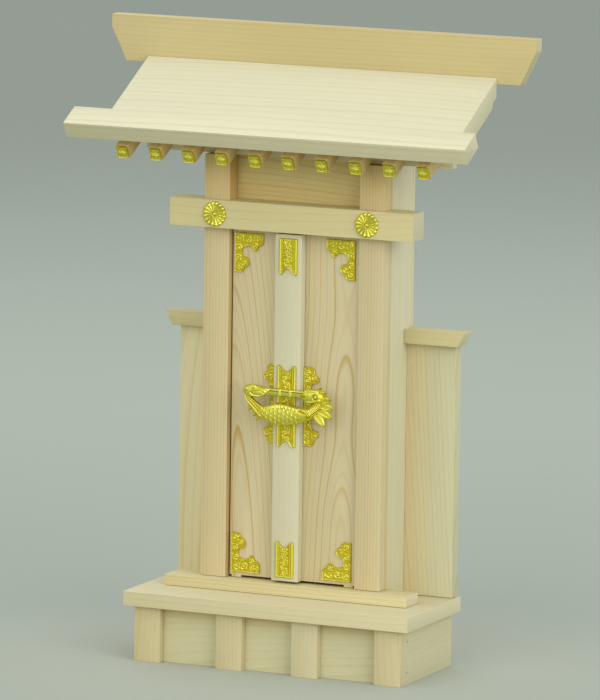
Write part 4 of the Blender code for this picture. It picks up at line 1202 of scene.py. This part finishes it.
    def scales(self, u, v):
        """Overlapping scales in staggered rows, from 0 to 1. A point belongs to the disc of
        its own row if it lies inside it, and otherwise to the row behind. Each disc rises to
        its free edge, so the edge of one stands over the next."""
        pitch = 4.6
        radius = 0.80
        best = np.zeros_like(u)
        taken = np.zeros(u.shape, bool)
        row = np.floor(u / pitch)
        for back in (-1, 0, 1):
            index = row + back
            shift = np.where(np.mod(index, 2.0) > 0.5, 0.5, 0.0)
            lane = v / (pitch * 1.05) - shift
            off_v = lane - np.round(lane)
            off_u = u / pitch - index - 0.5
            reach = np.hypot(off_u, off_v * 1.05) / radius
            inside = (reach < 1.0) & ~taken
            rays = 0.10 * np.cos(9.0 * np.arctan2(off_v, off_u))
            best = np.where(inside, 0.05 + (0.95 + rays) * reach ** 2.5, best)
            taken |= inside
        return best

    def about_eye(self, reach, angle, y):
        """Points at a reach and an angle from the eye's middle."""
        return grid_points(self.x + self.EYE[0] * self.UNIT + reach * np.cos(angle), y,
                           self.z + self.EYE[1] * self.UNIT + reach * np.sin(angle))

    def eye(self):
        """Flattened ball."""
        rings = 15
        sides = 28
        lat = np.linspace(0.02, math.pi - 0.02, rings)[:, None]
        points = self.about_eye(1.35 * MM * np.sin(lat), circle(sides),
                                self.y - 4.4 * MM - MM * np.cos(lat))
        return points, tube_faces(rings, sides), np.full(len(points), 0.9)

    def eye_ring(self):
        """Round wire laid about the eye: a circle carried round a circle."""
        around = 40
        sides = 12
        section = circle(sides)
        wire = 0.48 * MM
        points = self.about_eye(2.75 * MM + wire * np.cos(section), circle(around).T,
                                self.y - 4.75 * MM - wire * np.sin(section))
        faces = grid_faces(around, sides, around=True, looped=True)
        return points, faces, np.full(len(points), 0.9)

    def fin(self, root, tip, width):
        """Leaf from root to tip: its half width is a sine that leans to the tip, its section a
        lens, and rays fan out along it as ripples."""
        t = np.linspace(0.0, 1.0, 32)[:, None]
        angle = circle(48)
        root = np.array(root) * self.UNIT
        run = np.array(tip) * self.UNIT - root
        side = np.array((-run[1], run[0])) / np.hypot(*run)
        spread = width * self.UNIT / 2 * np.sin(math.pi * unit(0.22 + 0.78 * t)) ** 0.8
        spread = np.maximum(spread, 0.12 * MM)
        across = np.cos(angle)
        rays = np.cos(6.0 * math.pi * across)
        thick = 2.6 * MM * (1.0 - 0.35 * t)
        off = spread * across
        y = self.y - thick * np.sin(angle) * (0.84 + 0.16 * rays) - 0.9 * MM * t ** 2
        x = self.x + root[0] + run[0] * t + side[0] * off
        z = self.z + root[1] + run[1] * t + side[1] * off
        shade = unit(0.5 + 0.4 * rays + 0.25 * (t - 0.5))
        return grid_points(x, y, z), tube_faces(*x.shape), shade.ravel()

    def bar(self):
        """Bolt bar: an outline in y and z, with a narrow slot in its front face, carried in x."""
        low = self.z + 9.1 * MM
        high = self.z + 13.7 * MM
        front = self.back - 5.8 * MM
        slot_low = self.z + 12.2 * MM
        slot_high = self.z + 13.1 * MM
        deep = 2.6 * MM
        soft = 0.4 * MM
        outline = np.array((
            (self.back, low), (front + soft, low), (front, low + soft), (front, slot_low),
            (front + deep, slot_low), (front + deep, slot_high), (front, slot_high),
            (front + soft, high), (self.back, high)))
        ends = self.x + np.array((-18.5, 18.5)) * MM
        points = grid_points(ends[:, None], outline[:, 0], outline[:, 1])
        # The back of the bar and the floor of its slot get low relief, which colours them dark:
        # painted shade in the slot
        shade = np.where(outline[:, 0] > front + soft, 0.05, 0.75)
        return points, tube_faces(2, len(outline)), np.tile(shade, 2)

    def staple(self, offset):
        """Strap over the bar: a rounded oblong outline in x and z whose front is crowned."""
        s, t = np.meshgrid(np.linspace(-1.0, 1.0, 17), np.linspace(-1.0, 1.0, 25))
        a = self.x + offset + s * 1.5 * MM
        b = self.z + 11.4 * MM + t * 2.8 * MM
        crown = np.sqrt(unit(1.0 - 0.8 * s ** 2) * unit(1.0 - t ** 8))
        height = 5.3 * MM + 1.1 * MM * crown
        return relief_plate(a, b, height, 0.45 + 0.5 * crown, facing_front(self.back))


class KAMIDANA_OT_stage(bpy.types.Operator):
    """Stage: pale round floor, soft light and the camera"""

    bl_idname = "kamidana.stage"
    bl_label = "Stage"

    def execute(self, context):
        self.floor(context.scene)
        self.lights(context.scene)
        self.camera(context.scene)
        return {"FINISHED"}

    def floor(self, scene):
        """Round floor: rings of points that lie further apart outwards, about the shrine."""
        count = 24
        sides = 96
        inner_radius = 0.3
        growth = 1.18
        rings = inner_radius * growth ** np.arange(count)[:, None]
        angle = circle(sides)
        x = np.concatenate([[0.0], (rings * np.cos(angle)).ravel()])
        y = np.concatenate([[0.0], (rings * np.sin(angle)).ravel()])
        points = np.stack([x, y, np.zeros_like(x)], axis=-1)
        quads = grid_faces(count, sides, around=True)
        faces = [[corner + 1 for corner in face[::-1]] for face in quads]
        faces += [[0, 1 + step, 1 + (step + 1) % sides] for step in range(sides)]
        mesh = bpy.data.meshes.new("floor")
        mesh.from_pydata(points, [], faces)
        material, wire, shader = new_finish("floor_paper")
        spot = wire.add("ShaderNodeTexCoord").outputs["Object"]
        length = wire.add("ShaderNodeVectorMath", operation="LENGTH")
        wire.feed(length.inputs[0], spot)
        away = length.outputs["Value"]
        mottle = wire.noise(spot, scale=3.0, detail=3.0)
        paper = scene.kamidana_stage.floor
        tone = wire.mix(mottle, rgba(paper, 0.985), rgba(paper, 1.015))
        # Painted pool of light: the floor is lightest about 1.2 m out, a little darker inside that and
        # darker beyond, down to 0.66 at 3.7 m
        painted_pool_inner = wire.ease(away, 0.5, 1.25, 0.965, 1.0)
        shade = wire.math("MULTIPLY", painted_pool_inner, wire.ease(away, 1.2, 3.7, 1.0, 0.66))
        tone = wire.mix(1.0, tone, wire.join(shade, shade, shade), "MULTIPLY")
        # Painted bounce light: within about 0.3 m of the shrine the floor is lighter and warmer
        near = wire.ease(away, 0.12, 0.34, 1.0, 0.0)
        tone = wire.mix(near, tone, (paper[0] * 1.12, paper[1] * 1.07, paper[2] * 1.05, 1.0))
        wire.feed(shader.inputs["Base Color"], tone)
        shader.inputs["Roughness"].default_value = 0.9
        shader.inputs["Specular IOR Level"].default_value = 0.1
        mesh.materials.append(material)
        piece = add_object("floor", mesh)

    def lights(self, scene):
        """Even light from all round, low soft lights from the right and the front, and a
        cooler soft light from above."""
        world = bpy.data.worlds.new("studio")
        scene.world = world
        world.use_nodes = True
        sky = world.node_tree.nodes["Background"]
        sky.inputs["Color"].default_value = (0.97, 1.0, 1.04, 1.0)
        sky.inputs["Strength"].default_value = scene.kamidana_stage.fill
        # Name, degrees to the right of the front, degrees up, spread in degrees and colour
        for name, azimuth, height, spread, colour in (
                ("key", 62, 18, 45, (0.98, 1.0, 1.03)), ("front", -5, 22, 50, (1.0, 0.975, 0.90)),
                ("top", 0, 82, 70, (0.94, 1.0, 1.06))):
            light = bpy.data.lights.new(name, "SUN")
            light.energy = getattr(scene.kamidana_stage, name)
            light.angle = math.radians(spread)
            light.color = colour
            piece = add_object(name, light)
            piece.rotation_euler = (math.radians(90 - height), 0.0, math.radians(azimuth))

    def camera(self, scene):
        """Camera from its place, its yaw and pitch, and a small roll about its own axis."""
        forward = Vector((-math.sin(CAMERA_YAW) * math.cos(CAMERA_PITCH),
                          math.cos(CAMERA_YAW) * math.cos(CAMERA_PITCH), math.sin(CAMERA_PITCH)))
        level = Vector((math.cos(CAMERA_YAW), math.sin(CAMERA_YAW), 0.0))
        upward = level.cross(forward)
        right = level * math.cos(CAMERA_ROLL) + upward * math.sin(CAMERA_ROLL)
        up = upward * math.cos(CAMERA_ROLL) - level * math.sin(CAMERA_ROLL)
        data = bpy.data.cameras.new("camera")
        data.sensor_fit = "HORIZONTAL"
        data.sensor_width = CAMERA_SENSOR
        data.lens = CAMERA_LENS
        camera = add_object("camera", data)
        turn = Matrix((right, up, -forward)).transposed().to_4x4()
        camera.matrix_world = Matrix.Translation(CAMERA_PLACE) @ turn
        scene.camera = camera
        scene.view_settings.view_transform = "Standard"


class KAMIDANA_PT_panel(bpy.types.Panel):
    """Sidebar panel with the settings and every step of the finish"""

    bl_idname = "KAMIDANA_PT_panel"
    bl_label = "Kamidana"
    bl_space_type = "VIEW_3D"
    bl_region_type = "UI"
    bl_category = "Kamidana"

    def draw(self, context):
        for group in GROUPS:
            settings = getattr(context.scene, group)
            for name in settings.__annotations__:
                self.layout.prop(settings, name)
        for operator in OPERATORS:
            self.layout.operator(operator.bl_idname)


GROUPS = {
    "kamidana_wood": WoodSettings,
    "kamidana_gilt": GiltSettings,
    "kamidana_stage": StageSettings,
}
OPERATORS = (
    KAMIDANA_OT_base,
    KAMIDANA_OT_cabinet,
    KAMIDANA_OT_wings,
    KAMIDANA_OT_roof,
    KAMIDANA_OT_doors,
    KAMIDANA_OT_crests,
    KAMIDANA_OT_rafter_caps,
    KAMIDANA_OT_corner_plates,
    KAMIDANA_OT_strip_fittings,
    KAMIDANA_OT_lock_plates,
    KAMIDANA_OT_fish_lock,
    KAMIDANA_OT_stage,
)


def register():
    """Register the settings, the operators and the panel."""
    for name, group in GROUPS.items():
        bpy.utils.register_class(group)
        setattr(bpy.types.Scene, name, bpy.props.PointerProperty(type=group))
    for operator in OPERATORS:
        bpy.utils.register_class(operator)
    bpy.utils.register_class(KAMIDANA_PT_panel)


def unregister():
    """Take away what register added."""
    bpy.utils.unregister_class(KAMIDANA_PT_panel)
    for operator in OPERATORS:
        bpy.utils.unregister_class(operator)
    for name, group in GROUPS.items():
        delattr(bpy.types.Scene, name)
        bpy.utils.unregister_class(group)


def main():
    """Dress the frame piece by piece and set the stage."""
    register()
    bpy.ops.kamidana.base()
    bpy.ops.kamidana.cabinet()
    bpy.ops.kamidana.wings()
    bpy.ops.kamidana.roof()
    bpy.ops.kamidana.doors()
    bpy.ops.kamidana.crests()
    bpy.ops.kamidana.rafter_caps()
    bpy.ops.kamidana.corner_plates()
    bpy.ops.kamidana.strip_fittings()
    bpy.ops.kamidana.lock_plates()
    bpy.ops.kamidana.fish_lock()
    bpy.ops.kamidana.stage()


if __name__ == "__main__":
    main()
